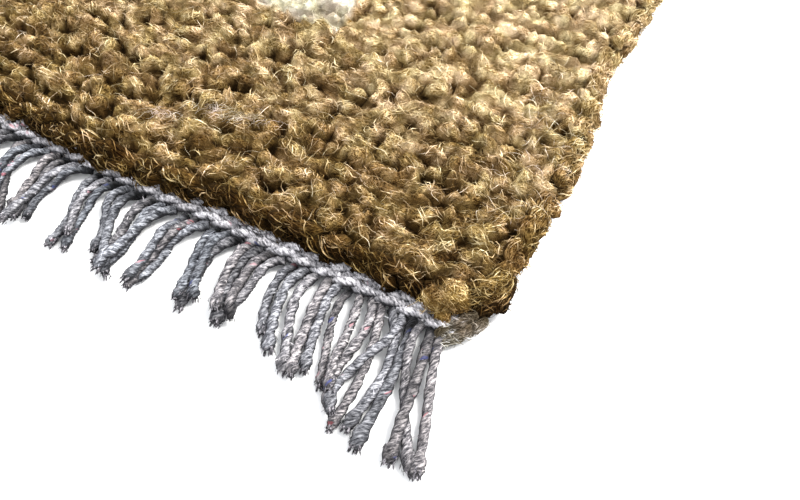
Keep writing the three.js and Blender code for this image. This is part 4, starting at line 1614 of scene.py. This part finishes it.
# %% Fuzz on the bare corners of the ground
CORNER_HAIRS_PER_SQUARE_METRE = 300000.0
centre_x, centre_y = HALF_WIDTH - GROUND_INSET - GROUND_CORNER, HALF_LENGTH - GROUND_CORNER
corner_faces = [p for p in ground_mesh.polygons
                if abs(p.center.x) > (centre_x - 4) * MM and abs(p.center.y) > (centre_y - 10) * MM
                and p.center.z > 0.0004 and p.area < 1e-4]
corner_points = {v for p in corner_faces for v in p.vertices}
renumber = {v: i for i, v in enumerate(sorted(corner_points))}
bare = mesh_from("bare_corners", [np.array(ground_mesh.vertices[v].co) / MM for v in sorted(corner_points)],
                 [tuple(renumber[v] for v in p.vertices) for p in corner_faces])
corner_fuzz = grow(bare, scatter, "corner_fuzz", Shapes=fuzz_kit, Material=ground_hair,
                   Density=CORNER_HAIRS_PER_SQUARE_METRE, Seed=41)
print(corner_fuzz.name, triangles(corner_fuzz), "triangles")

# %% [markdown]
# ## Frayed ends
#
# Where a cord is cut its plies open a little. A small brush of blades is sown on each tip, turned the way
# the cord points.


# %% Brushes on the tips
BRUSH_BLADES = 30
BRUSH_RADIUS = 2.3


def brush_mesh(kind):
    rng = np.random.default_rng(700 + kind)
    strands = Strands()
    t = np.linspace(0, 1, 4)
    for blade in range(BRUSH_BLADES):
        angle = rng.uniform(0, 2 * math.pi)
        start = BRUSH_RADIUS * (1 if blade % 2 else math.sqrt(rng.uniform(0.02, 1)))
        flare = rng.uniform(-0.2, 1.0) * start / BRUSH_RADIUS
        out_by = start + flare * t ** 1.5
        back = rng.uniform(1.5, 6.0) if blade % 2 else 0.9
        ahead = -back + rng.uniform(1.3, 2.8) * t
        line = np.column_stack([ahead, math.cos(angle) * out_by, math.sin(angle) * out_by])
        across = np.tile((0.0, -math.sin(angle), math.cos(angle)), (4, 1))
        widths = np.array((0, 1, 0.9, 0)) * rng.uniform(0.5, 0.9)
        strands.blade(line, across, widths, np.ones(4), rng.uniform(0, 1))
    return strands.mesh(f"brush_{kind}")


brushes = kit("brushes", [brush_mesh(kind) for kind in range(6)])
for name, parts in fringes.items():
    tips = np.array([path[0][-1] for path in parts["paths"]])
    before = np.array([path[0][-3] for path in parts["paths"]])
    heading = tips - before
    turn = np.column_stack([np.zeros(CORDS), np.zeros(CORDS), np.arctan2(heading[:, 1], heading[:, 0])])
    spots = spots_mesh(f"tips_{name}", tips, turn, [path[1][-1] / 0.7 for path in parts["paths"]])
    parts["ends"] = sow_on(spots, f"cord_ends_{name}", brushes, cut_cotton, 0.9, 1.1, 0.1, 51)

# %% [markdown]
# ## Hanging the pieces on the body
#
# The rug lies still, so everything rides on the one body. The CAD solids that the fine pieces stand for are
# hidden.

# %% The body
on_ground = [*pile, stray_fibres, *loose, corner_felt, corner_fuzz]
for piece in pile:
    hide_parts("pile")
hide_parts("ground_weave")
for name, parts in fringes.items():
    for key in ("cords", "heading", "cords_fuzz", "heading_fuzz", "ends"):
        on_ground.append(parts[key])
    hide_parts(f"fringe_{name}")
    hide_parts(f"fringe_{name}")
for piece in [ground, *on_ground]:
    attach(piece, "root")
total = sum(triangles(piece) for piece in [ground, *on_ground])
print("pieces:", 1 + len(on_ground), "triangles in all:", total)

# %% [markdown]
# ## Floor and light
#
# The photograph is taken on white, brightly and evenly lit, with its light from behind and to the right. A
# white floor, a bright sky all round and one large soft lamp give the same soft shadow under the fringe.

# %% Floor and lamps
FLOOR_HALF = 4000
FLOOR_HEIGHT = -0.2
corners = [(x * FLOOR_HALF, y * FLOOR_HALF, FLOOR_HEIGHT) for x, y in ((-1, -1), (1, -1), (1, 1), (-1, 1))]
floor_mesh = mesh_from("floor", corners, [(0, 1, 2, 3)], smooth=False)
floor = object_from(floor_mesh)
paper = bpy.data.materials.new("white_floor")
paper.use_nodes = True
paper_shader = paper.node_tree.nodes["Principled BSDF"]
paper_shader.inputs["Base Color"].default_value = (0.94, 0.94, 0.94, 1)
paper_shader.inputs["Roughness"].default_value = 0.9
floor_mesh.materials.append(paper)
floor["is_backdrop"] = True

world = bpy.data.worlds.new("sky")
world.use_nodes = True
sky = world.node_tree.nodes["Background"]
sky.inputs["Color"].default_value = (0.97, 0.98, 1.0, 1)
sky.inputs["Strength"].default_value = 1.6
scene.world = world

LAMP_PLACE = Vector((1.5, 1.14, 2.25))
LAMP_TARGET = Vector((0.1, -0.25, 0))
window = bpy.data.lights.new("window", "AREA")
window.shape = "DISK"
window.size = 1.5
window.energy = 225
window.color = (1.0, 0.985, 0.95)
lamp = bpy.data.objects.new("window", window)
scene.collection.objects.link(lamp)
lamp.location = LAMP_PLACE
lamp.rotation_mode = "QUATERNION"
lamp.rotation_quaternion = (LAMP_TARGET - LAMP_PLACE).to_track_quat("-Z", "Y")

# %% [markdown]
# ## Closing
#
# The box of the finished rug is printed, so that its size can be read against the CAD.

# %% Size
low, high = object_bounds()
print("visual box, m:", [round(x, 4) for x in (*low, *high)])
